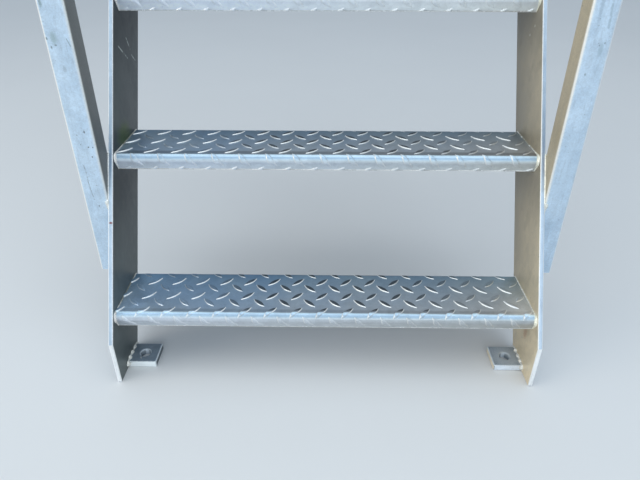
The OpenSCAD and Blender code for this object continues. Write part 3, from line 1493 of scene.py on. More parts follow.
class TreadSheet:
    """One tread's plate as one closed sheet, cut out flat, raised in tears and folded."""

    def __init__(
        self, treads: TreadPlates, section: FoldedSection, pattern: TearPattern, half: float
    ) -> None:
        """Cuts out the flat plate.

        Args:
            treads: Sizes of the treads.
            section: Outer line of the tread.
            pattern: Its tears.
            half: Half its width along X.
        """
        self.treads = treads
        self.section = section
        self.pattern = pattern
        self.half = half
        self.low = section.marks[FRONT_FLANGE][0]
        self.high = section.marks[BACK_EDGE][0]
        self.top_end = section.marks[BACK_FOLD][0] + 0.001
        self.lit_worn_edge = self.low + treads.lit_worn_edge
        self.outer, self.rolled = section.rolled(treads.plate * 0.9)
        self.flat, self.corners = self._cut_out()

    def lift(self, across: np.ndarray, along: np.ndarray) -> np.ndarray:
        """Height of the tears, rolled before folding, pressed flat at the sheared edges and the back fold.

        Args:
            across: Places along X.
            along: Places along the section.

        Returns:
            The heights.
        """
        kept = np.clip(np.minimum(along - self.low, self.high - along) / FADE, 0, 1)
        pressed = np.clip((self.top_end - along) / 0.008, 0.2, 1)
        tears, _, _ = self.pattern.survey(across, np.interp(along, self.outer, self.rolled))
        return tears * pressed * kept * kept * (3 - 2 * kept)

    def _lines(self) -> tuple[list[Vector], list[tuple[int, int]]]:
        """Lines that the mesh has to follow: the folds, both ends and the outlines of the tears.

        Returns:
            Points in millimetres, and the pairs of points that the lines join.
        """
        places: list[Vector] = []
        edges: list[tuple[int, int]] = []

        def draw(points: Sequence[Point2], closed: bool = False) -> None:
            """Adds a line.

            Args:
                points: Points across and along the plate.
                closed: Whether the line runs round.
            """
            start = len(places)
            places.extend(Vector((x / MM, s / MM)) for x, s in points)
            edges.extend((start + k, start + k + 1) for k in range(len(points) - 1))
            if closed:
                edges.append((start + len(points) - 1, start))

        low, high = self.low + FADE, self.high - FADE
        for s in sorted({*self.section.cuts(), low, high, self.lit_worn_edge, self.lit_worn_edge + LIT_WORN_EDGE_END, 0.003, 0.015}):
            draw([(-self.half, s), (self.half, s)])
        for x in (-self.half, self.half):
            draw([(x, self.section.start), (x, self.section.end)])
        ends = np.interp((self.low, self.high), self.outer, self.rolled)
        for outline in self.pattern.outlines(self.half, *ends):
            points = [(x, float(np.interp(s, self.rolled, self.outer))) for x, s in outline]
            inside = [abs(x) < self.half + 0.02 and low < s < high for x, s in points]
            if all(inside):
                draw(points, True)
                continue
            for k in range(len(points)):
                if inside[k - 1] and inside[k]:
                    draw([points[k - 1], points[k]])
        return places, edges

    def _cut_out(self) -> tuple[np.ndarray, np.ndarray]:
        """Cuts the flat plate into triangles that follow the lines.

        Returns:
            Points across and along the plate, and each triangle's corners, anticlockwise.
        """
        found = delaunay_2d_cdt(*self._lines(), [], 0, 1e-4)
        flat = np.array([tuple(v) for v in found[0]]) * MM
        at_end = np.abs(np.abs(flat[:, 0]) - self.half) < SAME
        flat[at_end, 0] = np.sign(flat[at_end, 0]) * self.half
        corners = np.array([face for face in found[2] if len(face) == 3])
        x, s = flat[corners].mean(1).T
        corners = corners[(np.abs(x) < self.half) & (s > self.section.start) & (s < self.section.end)]
        a, b, c = (flat[corners[:, i]] for i in range(3))
        turn = (b[:, 0] - a[:, 0]) * (c[:, 1] - a[:, 1]) - (b[:, 1] - a[:, 1]) * (c[:, 0] - a[:, 0])
        corners[turn < 0] = corners[turn < 0][:, ::-1]
        used = np.unique(corners)
        renumber = np.zeros(len(flat), int)
        renumber[used] = np.arange(len(used))
        return flat[used], renumber[corners]

    def _directions(self, x: np.ndarray, s: np.ndarray) -> np.ndarray:
        """Directions of the raised surface.

        Args:
            x: Places along X.
            s: Places along the section.

        Returns:
            One direction for each place.
        """
        slope_x = (self.lift(x + TINY_STEP, s) - self.lift(x - TINY_STEP, s)) / (2 * TINY_STEP)
        slope_s = (self.lift(x, s + TINY_STEP) - self.lift(x, s - TINY_STEP)) / (2 * TINY_STEP)
        _, along, out, bend = self.section.at(s)
        slope_s = slope_s / (1 + bend * self.lift(x, s))
        found = np.column_stack([-slope_x, out - slope_s[:, None] * along])
        return found / np.linalg.norm(found, axis=1)[:, None]

    def _painted(self, x: np.ndarray, s: np.ndarray) -> dict[str, np.ndarray]:
        """Values that the zinc reads from the mesh.

        Args:
            x: Places along X.
            s: Places along the section.

        Returns:
            Painted highlights, dirt deepened by painted shade on the tears, the nose, the turn round it, the
            depth behind it, and the worn and lit lower edge.
        """
        turn = np.clip(self.pattern.band - s / self.treads.fold, 0, None)
        on_front = np.clip((turn - math.radians(5)) / math.radians(12), 0, 1)
        _, edge, lean = self.pattern.survey(x, np.interp(s, self.outer, self.rolled))
        rim = np.abs(edge) > TEAR_LINES[2]
        # Painted highlights on the tears' near rims, whose strength changes across the tread with each
        # tear's lean, and on the nose's flanks
        near = (rim & (edge < 0)) * np.clip(0.85 - lean * x * 1.8, 0.4, 1)
        leftward = edge * lean > 0.42
        rightward = rim & (edge * lean < 0)
        shining = 0.4 + 0.6 * np.exp(-(((turn - math.radians(52)) / math.radians(24)) ** 2))
        # Dark plateaus and far rims: dirt deepened by painted shade; thin painted shade on the nose's flanks
        plateau = (~rim & (lean != 0)) * 0.85 + (rim & (edge > 0)) * 0.45
        plateau = plateau * np.clip((s - 0.004) / 0.004, 0.1, 1)
        lee = rightward * on_front * 0.28 * (turn < math.radians(82))
        return {
            "crest": near * (1 - on_front) + (leftward * shining + rightward * 0.3) * on_front,
            "lee": plateau * (1 - on_front) + lee,
            "nose": on_front,
            "turn": turn / math.radians(FULL_TURN),
            "depth": np.clip(s / self.top_end, 0, 1),
            # The lower edge painted bright: worn zinc with a painted highlight
            "wear": np.clip((self.lit_worn_edge + LIT_WORN_EDGE_END - s) / LIT_WORN_EDGE_END, 0, 1),
        }

    def _inward(self, s: float) -> tuple[float, float, float]:
        """Direction of the plate's inner side at a place along the section."""
        _, _, out, _ = self.section.at(np.array([s]))
        return (0.0, -out[0][0], -out[0][1])

    def _chain(self, side: int, points: list[Sequence[float]]) -> tuple[list[Link], np.ndarray]:
        """Joins the outer and the inner side's points at one end of the tread.

        Args:
            side: -1 for the left-hand end, 1 for the right.
            points: The mesh's points, which take in the new inner ones.

        Returns:
            For each outer point its place along the section and the numbers of the inner and the outer
            point, and the numbers of all the outer points at that end.
        """
        rim = np.nonzero(np.abs(self.flat[:, 0] - side * self.half) < SAME)[0]
        rim = rim[np.argsort(self.flat[rim, 1])]
        chain = []
        for n in rim:
            s = self.flat[n, 1]
            if abs(s - self.low) < SAME:
                chain.append((s, int(rim[0]), int(n)))
            elif abs(s - self.high) < SAME:
                chain.append((s, int(rim[-1]), int(n)))
            elif self.low < s < self.high:
                spot, _, out, _ = self.section.at(np.array([s]))
                points.append((side * self.half, *(spot[0] - out[0] * self.treads.plate)))
                chain.append((s, len(points) - 1, int(n)))
        return chain, rim

    def _inner_skin(self, points: list[Sequence[float]]) -> tuple[list[Face], list[Sequence[float]]]:
        """The inner side, a plain skin between the tread's ends, and the two ends.

        Args:
            points: The mesh's points, which take in the new inner ones.

        Returns:
            The faces, and a direction for each of their corners.
        """
        faces: list[Face] = []
        normals: list[Sequence[float]] = []
        chains = {side: self._chain(side, points) for side in (-1, 1)}
        left, right = chains[-1][0], chains[1][0]
        i = j = 0
        while i < len(left) - 1 or j < len(right) - 1:
            step_left = j == len(right) - 1 or (i < len(left) - 1 and left[i + 1][0] <= right[j + 1][0])
            face = (left[i], left[i + 1], right[j]) if step_left else (left[i], right[j + 1], right[j])
            i, j = (i + 1, j) if step_left else (i, j + 1)
            faces.append(tuple(link[1] for link in face))
            middle = sum(link[0] for link in face) / 3
            normals.extend(self._inward(link[0] + (middle - link[0]) * 0.02) for link in face)
        for side, (chain, rim) in chains.items():
            caps = [(one[2], one[1], other[1], other[2]) for one, other in zip(chain, chain[1:])]
            caps.append(tuple(int(n) for n in rim if self.flat[n, 1] <= self.low + SAME)[::-1])
            caps.append(tuple(int(n) for n in rim if self.flat[n, 1] >= self.high - SAME)[::-1])
            for cap in caps:
                cap = tuple(dict.fromkeys(cap))
                faces.append(cap if side > 0 else cap[::-1])
                normals.extend([(float(side), 0.0, 0.0)] * len(cap))
        return faces, normals

    def mesh(self, name: str) -> bpy.types.Mesh:
        """Raises the tears, folds the plate and closes it.

        Args:
            name: The mesh's name.

        Returns:
            The mesh, with its directions and painted values at the faces' corners.
        """
        spots, _, outward, _ = self.section.at(self.flat[:, 1])
        lifted = spots + outward * self.lift(self.flat[:, 0], self.flat[:, 1])[:, None]
        points: list[Sequence[float]] = [(x, y, z) for x, (y, z) in zip(self.flat[:, 0], lifted)]
        extra_faces, extra_normals = self._inner_skin(points)
        spread = self.flat[self.corners]
        drawn_in = spread + (spread.mean(1)[:, None, :] - spread) * 0.04
        x, s = drawn_in[:, :, 0].ravel(), drawn_in[:, :, 1].ravel()
        made = bpy.data.meshes.new(name)
        faces = [tuple(face) for face in self.corners.tolist()]
        made.from_pydata(points, [], faces + extra_faces, shade_flat=False)
        every = np.vstack([self._directions(x, s), np.array(extra_normals)])
        made.normals_split_custom_set(every.tolist())
        for key, values in self._painted(x, s).items():
            layer = made.attributes.new(key, "FLOAT", "CORNER")
            layer.data.foreach_set("value", np.concatenate([values, np.zeros(len(extra_normals))]))
        return made


@dataclass
class Sides(SubAssembly):
    """The two sides of flat bar.

    Attributes:
        edge: Radius of the bar's rolled edges.
        corner: Radius of its sawn corners.
    """

    edge: float = 0.0016
    corner: float = 0.0020

    def meshes(self) -> Meshes:
        """Makes both sides, with their level feet, plumb toes and plumb heads.

        Returns:
            Each mesh with its slot and node.
        """
        tan, cos = math.tan(FLIGHT.pitch), math.cos(FLIGHT.pitch)
        for name, sign in SIDES.items():
            node = f"stringer_{name}"
            low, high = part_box(node)
            outline = (
                (low.y, low.z),
                (FLIGHT.toe_y + (FLIGHT.bar_d / cos - FLIGHT.toe_h) / tan, low.z),
                (high.y, FLIGHT.back_z(high.y)),
                (high.y, high.z),
                (FLIGHT.toe_y + (high.z - FLIGHT.toe_h) / tan, high.z),
                (low.y, FLIGHT.toe_h),
            )
            bar = Plate(outline, FLIGHT.bar_t, self.edge, self.corner)
            shell = bar.shell(lambda u, v, w, s=sign: (s * (FLIGHT.inner_x + w), u, v))
            yield shell.mesh(f"{node}_bar"), Slot.BAR, node


@dataclass
class FloorLugs(SubAssembly):
    """The two lugs for the floor bolts.

    Attributes:
        hole: Diameter of the bolt hole.
        chamfer: Chamfer of its upper rim.
        edge: Radius of the lugs' edges.
        corner: Radius of their corners.
    """

    hole: float = 0.018
    chamfer: float = 0.002
    edge: float = 0.0022
    corner: float = 0.0027

    def meshes(self) -> Meshes:
        """Makes both lugs, each with its bolt hole.

        Returns:
            Each mesh with its slot and node.
        """
        for name in SIDES:
            node = f"lug_{name}"
            low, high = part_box(node)
            hole = Hole(((low.x + high.x) / 2, (low.y + high.y) / 2), self.hole / 2, self.chamfer)
            outline = oblong((low.x, low.y), (high.x, high.y))
            block = Plate(outline, high.z - low.z, self.edge, self.corner, (hole,))
            shell = block.shell(lambda u, v, w, z=low.z: (u, v, z + w))
            yield shell.mesh(f"{node}_block"), Slot.FIXING, node


@dataclass
class HeadPlates(SubAssembly):
    """The two plates that bolt the flight's head to a landing.

    Attributes:
        hole: Diameter of the bolt holes.
        margin: Distance from the plate's ends to the holes.
        edge: Radius of the plates' edges.
        corner: Radius of their corners.
    """

    hole: float = 0.018
    margin: float = 0.030
    edge: float = 0.0012
    corner: float = 0.0018

    def meshes(self) -> Meshes:
        """Makes both plates, each with its two bolt holes.

        Returns:
            Each mesh with its slot and node.
        """
        for name, sign in SIDES.items():
            node = f"head_plate_{name}"
            low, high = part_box(node)
            inner, outer = sorted((abs(low.x), abs(high.x)))
            middle = (inner + FLIGHT.bar_t + outer) / 2
            heights = (low.z + self.margin, high.z - self.margin)
            holes = tuple(Hole((middle, z), self.hole / 2) for z in heights)
            outline = oblong((inner, low.z), (outer, high.z))
            flat = Plate(outline, high.y - low.y, self.edge, self.corner, holes)
            shell = flat.shell(lambda u, v, w, s=sign, y=high.y: (s * u, y - w, v))
            yield shell.mesh(f"{node}_flat"), Slot.FIXING, node


@dataclass
class Posts(SubAssembly):
    """The four square posts.

    Attributes:
        wall: Wall of the tube.
        corner: Outer radius of its corners.
        cap: Thickness of the sloping cap.
        seat_gap: Gap between cap and handrail.
        soft: How far the sawn ends are broken.
    """

    wall: float = 0.003
    corner: float = 0.005
    cap: float = 0.004
    seat_gap: float = 0.0002
    soft: float = 0.0007

    def meshes(self) -> Meshes:
        """Makes the lower posts, then the upper ones.

        Returns:
            Each mesh with its slot and node.
        """
        for level in LEVELS:
            for name in SIDES:
                node = f"{level}_post_{name}"
                yield self.tube(node).mesh(f"{node}_tube"), Slot.POST, node

    def tube(self, node: str) -> Shell:
        """Builds one post.

        Args:
            node: The solid that it stands for.

        Returns:
            The closed shell.
        """
        low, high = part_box(node)
        outside = round_corners(oblong((low.x, low.y), (high.x, high.y)), self.corner, 6)
        inside = inset(outside, self.wall)
        below = (FLIGHT.rail_d / 2 + self.seat_gap) / math.cos(FLIGHT.pitch)
        sloped = self.cap / math.cos(FLIGHT.pitch)
        soft = self.soft

        def top(y: float) -> float:
            """Height of the sloping top."""
            return FLIGHT.nosing_z(y) + FLIGHT.rail_h - below

        made = Shell()
        # The broken sawn ends and the cap's rim are painted bright: worn zinc with a painted highlight
        outer_rings = [
            made.add(((x, y, low.z + lift) for x, y in inset(outside, step)), wear)
            for lift, step, wear in ((0.0, soft, 0.6), (soft * 0.4, soft * 0.3, 1.0), (soft * 1.4, 0.0, 0.0))
        ]
        outer_rings.append(made.add((x, y, top(y) - soft * 2) for x, y in outside))
        outer_rings.append(made.add(((x, y, top(y)) for x, y in inset(outside, soft)), 0.8))
        inner_rings = [
            made.add((x, y, low.z) for x, y in inside),
            made.add((x, y, top(y) - sloped) for x, y in inside),
        ]
        made.skin(outer_rings)
        made.bridge(outer_rings[0], inner_rings[0])
        made.skin(inner_rings)
        made.cap(outer_rings[-1], inner_rings[-1])
        # The rounded corners are worn and carry a painted highlight, strongest on the first, at the left
        # front
        per_corner = len(outside) // 4
        for ring in outer_rings[2:4]:
            for k, point in enumerate(ring):
                off_middle = abs(2 * (k % per_corner) / (per_corner - 1) - 1)
                made.wear[point] = (1.4 if k < per_corner else 0.8) * max(0.0, 1.0 - 1.3 * off_middle)
        return made


@dataclass(frozen=True)
class Pipe:
    """A round tube that follows a line, with its wall and both ends.

    Attributes:
        outer: Outer radius.
        inner: Inner radius.
        soft: How far the sawn ends are broken.
    """

    outer: float = FLIGHT.rail_d / 2
    inner: float = FLIGHT.rail_d / 2 - FLIGHT.rail_wall
    soft: float = 0.0006

    def shell(self, path: Axis, closed_end: float = 0.0) -> Shell:
        """Builds the tube.

        Args:
            path: Points on its axis, with the direction square to the axis in the Y, Z plane.
            closed_end: Thickness of the disc that closes the far end, 0 for an open end.

        Returns:
            The closed shell.
        """
        made = Shell()

        def ring(at: Vector, up: Vector, radius: float, wear: float = 0.0) -> list[int]:
            """Adds a ring of points."""
            around = ring_of(radius, ROUND_STEPS)
            return made.add((at + RIGHT * u + up * v for u, v in around), wear)

        (start, start_up), (end, end_up) = path[0], path[-1]
        ahead = (path[1][0] - start).normalized() * self.soft
        back = (path[-2][0] - end).normalized()
        # The broken sawn ends are painted bright: worn zinc with a painted highlight
        outer = [
            ring(start, start_up, self.outer - self.soft, 0.8),
            ring(start + ahead, start_up, self.outer, 0.3),
            *(ring(at, up, self.outer) for at, up in path[1:-1]),
            ring(end + back * self.soft, end_up, self.outer, 0.3),
            ring(end, end_up, self.outer - self.soft, 0.8),
        ]
        inner = [ring(at, up, self.inner) for at, up in path[:-1]]
        inner.append(ring(end + back * closed_end, end_up, self.inner))
        made.skin(outer)
        made.skin(inner)
        made.bridge(outer[0], inner[0])
        if closed_end:
            made.cap(outer[-1], inner[-1])
        else:
            made.bridge(outer[-1], inner[-1])
        return made


@dataclass
class Rails(SubAssembly):
    """Handrails with their bent ends, and knee rails.

    Attributes:
        disc: Thickness of the disc at the handrail's upper end.
        bend_steps: Parts of each bend.
        crease: Angle at which an edge stays sharp, in degrees.
    """

    disc: float = 0.003
    bend_steps: int = 20
    crease: float = 40.0

    def meshes(self) -> Meshes:
        """Makes each side's handrail, its two bent ends and its knee rail.

        Returns:
            Each mesh with its slot and node.
        """
        pipe = Pipe()
        for name, sign in SIDES.items():
            foot, head = self.bend_lines(sign * FLIGHT.rail_x)
            (low, square), (high, _) = foot[0], head[0]
            shells = {
                "handrail": pipe.shell([(at, square) for at in line(low, high, 4)]),
                "handrail_foot": pipe.shell(foot),
                "handrail_head": pipe.shell(head, self.disc),
                "knee_rail": self.knee(sign * FLIGHT.rail_x),
            }
            for kind, shell in shells.items():
                node = f"{kind}_{name}"
                yield shell.mesh(f"{node}_tube", self.crease), Slot.RAIL, node

    def bend_lines(self, x: float) -> tuple[Axis, Axis]:
        """Axes of both bent ends of a handrail.

        Args:
            x: Place of the rail along X.

        Returns:
            The lower end from the straight rail to the post, and the upper end from the rail to the head.
        """
        pitch, radius = FLIGHT.pitch, FLIGHT.bend_r
        lower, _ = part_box("lower_post_left")
        _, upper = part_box("upper_post_left")

        def bend(centre: Vector, sweep: float) -> Axis:
            """Lays out a bend that begins square to the slope.

            Args:
                centre: Its centre.
                sweep: How far it turns, in radians.

            Returns:
                Its axis.
            """
            turns = [math.pi / 2 + pitch + sweep * k / self.bend_steps for k in range(self.bend_steps + 1)]
            ups = [Vector((0, math.cos(a), math.sin(a))) for a in turns]
            return [(centre + up * radius, up) for up in ups]

        foot_y = lower.y - FLIGHT.hook_leg
        foot_z = FLIGHT.nosing_z(foot_y) + FLIGHT.rail_h - radius / math.cos(pitch)
        foot = bend(Vector((x, foot_y, foot_z)), math.pi - pitch)
        foot.append((Vector((x, lower.y, foot_z - radius)), -UP))
        start_y = upper.y - FLIGHT.post_w / 2 + FLIGHT.head_run * math.cos(pitch)
        start_z = FLIGHT.nosing_z(start_y) + FLIGHT.rail_h
        centre = Vector((x, start_y + radius * math.sin(pitch), start_z - radius * math.cos(pitch)))
        head = bend(centre, -pitch)
        _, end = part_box("handrail_head_left")
        head.append((Vector((x, end.y, centre.z + radius)), UP))
        return foot, head

    @staticmethod
    def knee(x: float) -> Shell:
        """Builds a knee rail, cut plumb at the posts' faces.

        Args:
            x: Place of the rail along X.

        Returns:
            The closed shell.
        """
        _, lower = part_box("lower_post_left")
        upper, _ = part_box("upper_post_left")
        made = Shell()
        pairs = [
            [
                made.add((x + u, y, FLIGHT.knee_z(y, v)) for u, v in ring_of(radius, ROUND_STEPS))
                for y in (lower.y, upper.y)
            ]
            for radius in (Pipe.outer, Pipe.inner)
        ]
        for pair in pairs:
            made.skin(pair)
        for outer, inner in zip(*pairs):
            made.bridge(outer, inner)
        return made


@dataclass
class Welds(SubAssembly):
    """All weld beads, each sub-assembly's as one piece.

    Attributes:
        treads: The treads, whose sections the beads follow.
        on_tread: Bead at a tread's end.
        on_lug: Bead round a lug.
        on_head: Bead along a head plate.
        on_post: Bead along a post's corner.
        on_front: Bead on a side's front edge where a post crosses it.
        under_rail: Bead between a handrail and a post's cap.
        on_bend: Bead round the joint of a handrail's bend.
        on_rail: Bead round a rail's end on a post.
        crease: Angle at which an edge stays sharp, in degrees.
    """

    treads: TreadPlates
    on_tread: Bead = Bead(0.0023, 0.0028, 0.12)
    on_lug: Bead = Bead(0.0036, 0.0034, 0.18, 0.0135, 0.34, 0.8)
    on_head: Bead = Bead(0.0042, 0.0034, 0.2, crown=0.6)
    on_post: Bead = Bead(0.0040, 0.0036, 0.2, crown=0.7)
    on_front: Bead = Bead(0.0017, 0.0030, 0.10, crown=0.5)
    under_rail: Bead = Bead(0.0065, 0.0036, 0.16, crown=0.3)
    on_bend: Bead = Bead(0.0026, 0.0030, 0.10, crown=0.6)
    on_rail: Bead = Bead(0.0036, 0.0034, 0.16, crown=0.5)
    crease: float = 60.0

    def meshes(self) -> Meshes:
        """Makes the beads of the treads, then those of each side.

        Returns:
            Each mesh with its slot and node.
        """
        for number in range(1, FLIGHT.steps + 1):
            yield self.tread(number).mesh(f"tread_{number}_welds", self.crease), Slot.TREAD, ""
        for name in SIDES:
            beads = [
                (f"lug_{name}", self.lug(name), Slot.FIXING),
                (f"head_plate_{name}", self.head_plate(name), Slot.FIXING),
                (f"rail_{name}", self.rail(name), Slot.RAIL),
                *((f"{level}_post_{name}", self.post(level, name), Slot.POST) for level in LEVELS),
            ]
            for node, shell, slot in beads:
                yield shell.mesh(f"{node}_welds", self.crease), slot, ""

    def tread(self, number: int) -> Shell:
        """Beads at both ends of a tread.

        Args:
            number: Number of the tread, from the floor.

        Returns:
            The beads, with some spatter.
        """
        low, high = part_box(f"tread_{number}")
        section = self.treads.section(low, high)
        begin, end = section.marks[FRONT_FLANGE][0] + 0.0005, section.marks[BACK_EDGE][0]
        points, _, outward, _ = section.at(np.linspace(begin, end, 90))
        made = Shell()
        for sign, thick, drops in ((-1.0, 1.4, 2), (1.0, 1.7, 6)):

            def sizes(share: float, thick: float = thick) -> float:
                """Size of the bead: thick round the nose, thin along the top."""
                nose = math.exp(-(((begin + (end - begin) * share) + 0.012) / 0.010) ** 2)
                return 0.55 + (thick - 0.55) * nose

            path = [Vector((sign * high.x, y, z)) for y, z in points]
            legs = [Vector((0.0, y, z)) for y, z in outward]
            inward = -sign * RIGHT
            made.join(self.on_tread.run(10 * number + int(sign), path, legs, inward, sizes=sizes))
            draw = random.Random(100 * number + int(sign))
            spots = []
            for _ in range(drops):
                k = draw.randrange(30, len(path))
                off = draw.uniform(0.002, 0.006)
                spots.append((path[k] + inward * off, legs[k], draw.uniform(0.0005, 0.0010)))
            made.join(spatter(spots))
        return made

    def lug(self, name: str) -> Shell:
        """Bead round a lug's end, on the side's inner face.

        Args:
            name: Left or right.

        Returns:
            The bead.
        """
        (low, high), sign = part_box(f"lug_{name}"), SIDES[name]
        x, foot = sign * FLIGHT.inner_x, 0.002
        outline = ((high.y, foot), (high.y, high.z), (low.y, high.z), (low.y, foot))
        corners = [Vector((x, y, z)) for y, z in outline]
        path, legs = [], []
        for start, end, outward in zip(corners, corners[1:], (BACK, UP, -BACK)):
            run = line(start, end, 12)[1:-1]
            path += run
            legs += [outward] * len(run)
        made = self.on_lug.run(
            7 + int(sign), path, legs, -sign * RIGHT, sizes=lambda share: 0.85 + 0.9 * max(0.0, share - 0.66)
        )
        if sign < 0:
            middle = Vector(((low.x + high.x) / 2, (low.y + high.y) / 2, high.z))
            near, far = Vector((-0.0052, -0.0125, 0.0)), Vector((-0.0040, -0.0148, 0.0))
            made.join(spatter([(middle + near, UP, 0.0011), (middle + far, UP, 0.0008)]))
        return made

    def head_plate(self, name: str) -> Shell:
        """Bead between a head plate and the side that carries it.

        Args:
            name: Left or right.

        Returns:
            The bead.
        """
        (low, high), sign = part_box(f"head_plate_{name}"), SIDES[name]
        x, end = sign * FLIGHT.outer_x, 0.004
        path = line(Vector((x, low.y, low.z + end)), Vector((x, low.y, high.z - end)), 40)
        return self.on_head.run(31 + int(sign), path, -BACK, sign * RIGHT)

    def post(self, level: str, name: str) -> Shell:
        """Beads between a post and its side, and under the handrail.

        Args:
            level: Lower or upper.
            name: Left or right.

        Returns:
            The beads, with one drop.
        """
        (low, high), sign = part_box(f"{level}_post_{name}"), SIDES[name]
        x, out = sign * FLIGHT.outer_x, sign * RIGHT
        seed = (LEVELS.index(level) + 1) * 40 + int(sign)
        made = Shell()
        for y, way in ((low.y, -1.0), (high.y, 1.0)):
            upper = min(FLIGHT.front_z(y), FLIGHT.front_z(low.y) + 0.069) - 0.001
            lower = max(low.z, FLIGHT.back_z(y)) + 0.002
            root = Vector((x, y - way * 0.0018, 0.0))
            path = line(root + UP * lower, root + UP * upper, 30)
            skew = (out + BACK * (way * 0.28)).normalized()
            bead = self.on_post.run(seed + int(way), path, BACK * way, skew, sizes=self._fat_end)
            made.join(bead)
        near, far = (
            Vector((x, y, FLIGHT.front_z(y))) - FLIGHT.square * 0.0008 for y in (low.y - 0.001, high.y)
        )
        made.join(self.on_front.run(seed + 5, line(near, far, 29), FLIGHT.square, -out))
        top = Vector((x + sign * 0.0006, low.y - 0.0006, FLIGHT.front_z(low.y) - 0.0005))
        made.join(spatter([(top, Vector((0.0, -0.9, 0.4)), 0.0021 if sign < 0 else 0.0013)]))
        made.join(self._under_rail(low, high, sign, seed))
        return made

    @staticmethod
    def _fat_end(share: float) -> float:
        """Size of a post's bead, which swells over the last part of its length."""
        return 0.8 + 0.8 * max(0.0, share - 0.85) / 0.15

    def _under_rail(self, low: Vector, high: Vector, sign: float, seed: int) -> Shell:
        """Beads along both sides of a handrail on a post's cap.

        Args:
            low: Lowest corner of the post's box.
            high: Highest corner of the post's box.
            sign: -1 for the left-hand side, 1 for the right.
            seed: Start of the random numbers.

        Returns:
            The beads.
        """
        made = Shell()
        radius, around = FLIGHT.rail_d / 2, math.radians(38)
        half = FLIGHT.slope * ((high.y - low.y) / math.cos(FLIGHT.pitch) * 0.47)
        y = (low.y + high.y) / 2
        axis = Vector((sign * FLIGHT.rail_x, y, FLIGHT.nosing_z(y) + FLIGHT.rail_h))
        for way in (-1.0, 1.0):
            root = axis - FLIGHT.square * radius + RIGHT * (way * radius * math.sin(around) * 0.6)
            climb = (RIGHT * (way * math.cos(around)) + FLIGHT.square * math.sin(around)).normalized()
            path = line(root - half, root + half, 30)
            made.join(self.under_rail.run(seed + 11 + int(way), path, RIGHT * way, climb))
        return made

    def rail(self, name: str) -> Shell:
        """Rings at the joints of the handrail's bends and at both rails' ends on the posts.

        Args:
            name: Left or right.

        Returns:
            The beads.
        """
        made = Shell()
        radius, side = FLIGHT.rail_d / 2, int(SIDES[name])
        x = side * FLIGHT.rail_x
        foot, head = Rails(self.finish).bend_lines(x)
        turns = [2 * math.pi * k / 48 for k in range(49)]
        around = [(radius * math.cos(a), radius * math.sin(a)) for a in turns]
        for number, (at, up) in enumerate((foot[0], head[0])):
            out = [RIGHT * math.cos(a) + up * math.sin(a) for a in turns]
            path = [at + o * (radius - 0.0006) for o in out]
            legs = [[(FLIGHT.slope * way + o * 0.35).normalized() for o in out] for way in (1.0, -1.0)]
            made.join(self.on_bend.run(60 + number + side, path, *legs, closed=True))
        at, up = foot[-1]
        out = [RIGHT * math.cos(a) + up * math.sin(a) for a in turns]
        made.join(self.on_rail.run(70 + side, [at + o * radius for o in out], out, -BACK, closed=True))
        _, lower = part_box("lower_post_left")
        upper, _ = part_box("upper_post_left")
        for y, way in ((lower.y, 1), (upper.y, -1)):
            path = [Vector((x + u, y, FLIGHT.knee_z(y, v))) for u, v in around]
            flat = [RIGHT * u + UP * (v * math.cos(FLIGHT.pitch)) for u, v in around]
            flat = [leg.normalized() for leg in flat]
            made.join(self.on_rail.run(80 + side + way, path, flat, FLIGHT.slope * way, closed=True))
        return made


@dataclass(frozen=True)
class Lamp:
    """A soft oblong lamp.

    Attributes:
        name: Its name.
        place: Its place, in metres.
        aim: The point that it faces, in metres.
        size: Its width and height, in metres.
        radiance: How bright its face is.
        colour: Its colour.
    """

    name: str
    place: tuple[float, float, float]
    aim: tuple[float, float, float]
    size: tuple[float, float]
    radiance: float
    colour: tuple[float, float, float]

    def hang(self) -> None:
        """Adds the lamp to the scene."""
        lamp = bpy.data.lights.new(self.name, "AREA")
        lamp.shape = "RECTANGLE"
        lamp.size, lamp.size_y = self.size
        lamp.energy = self.radiance * math.pi * self.size[0] * self.size[1]
        lamp.color = self.colour
        holder = bpy.data.objects.new(self.name, lamp)
        holder.location = self.place
        way = Vector(self.aim) - Vector(self.place)
        holder.rotation_euler = way.to_track_quat("-Z", "Y").to_euler()
        bpy.context.scene.collection.objects.link(holder)


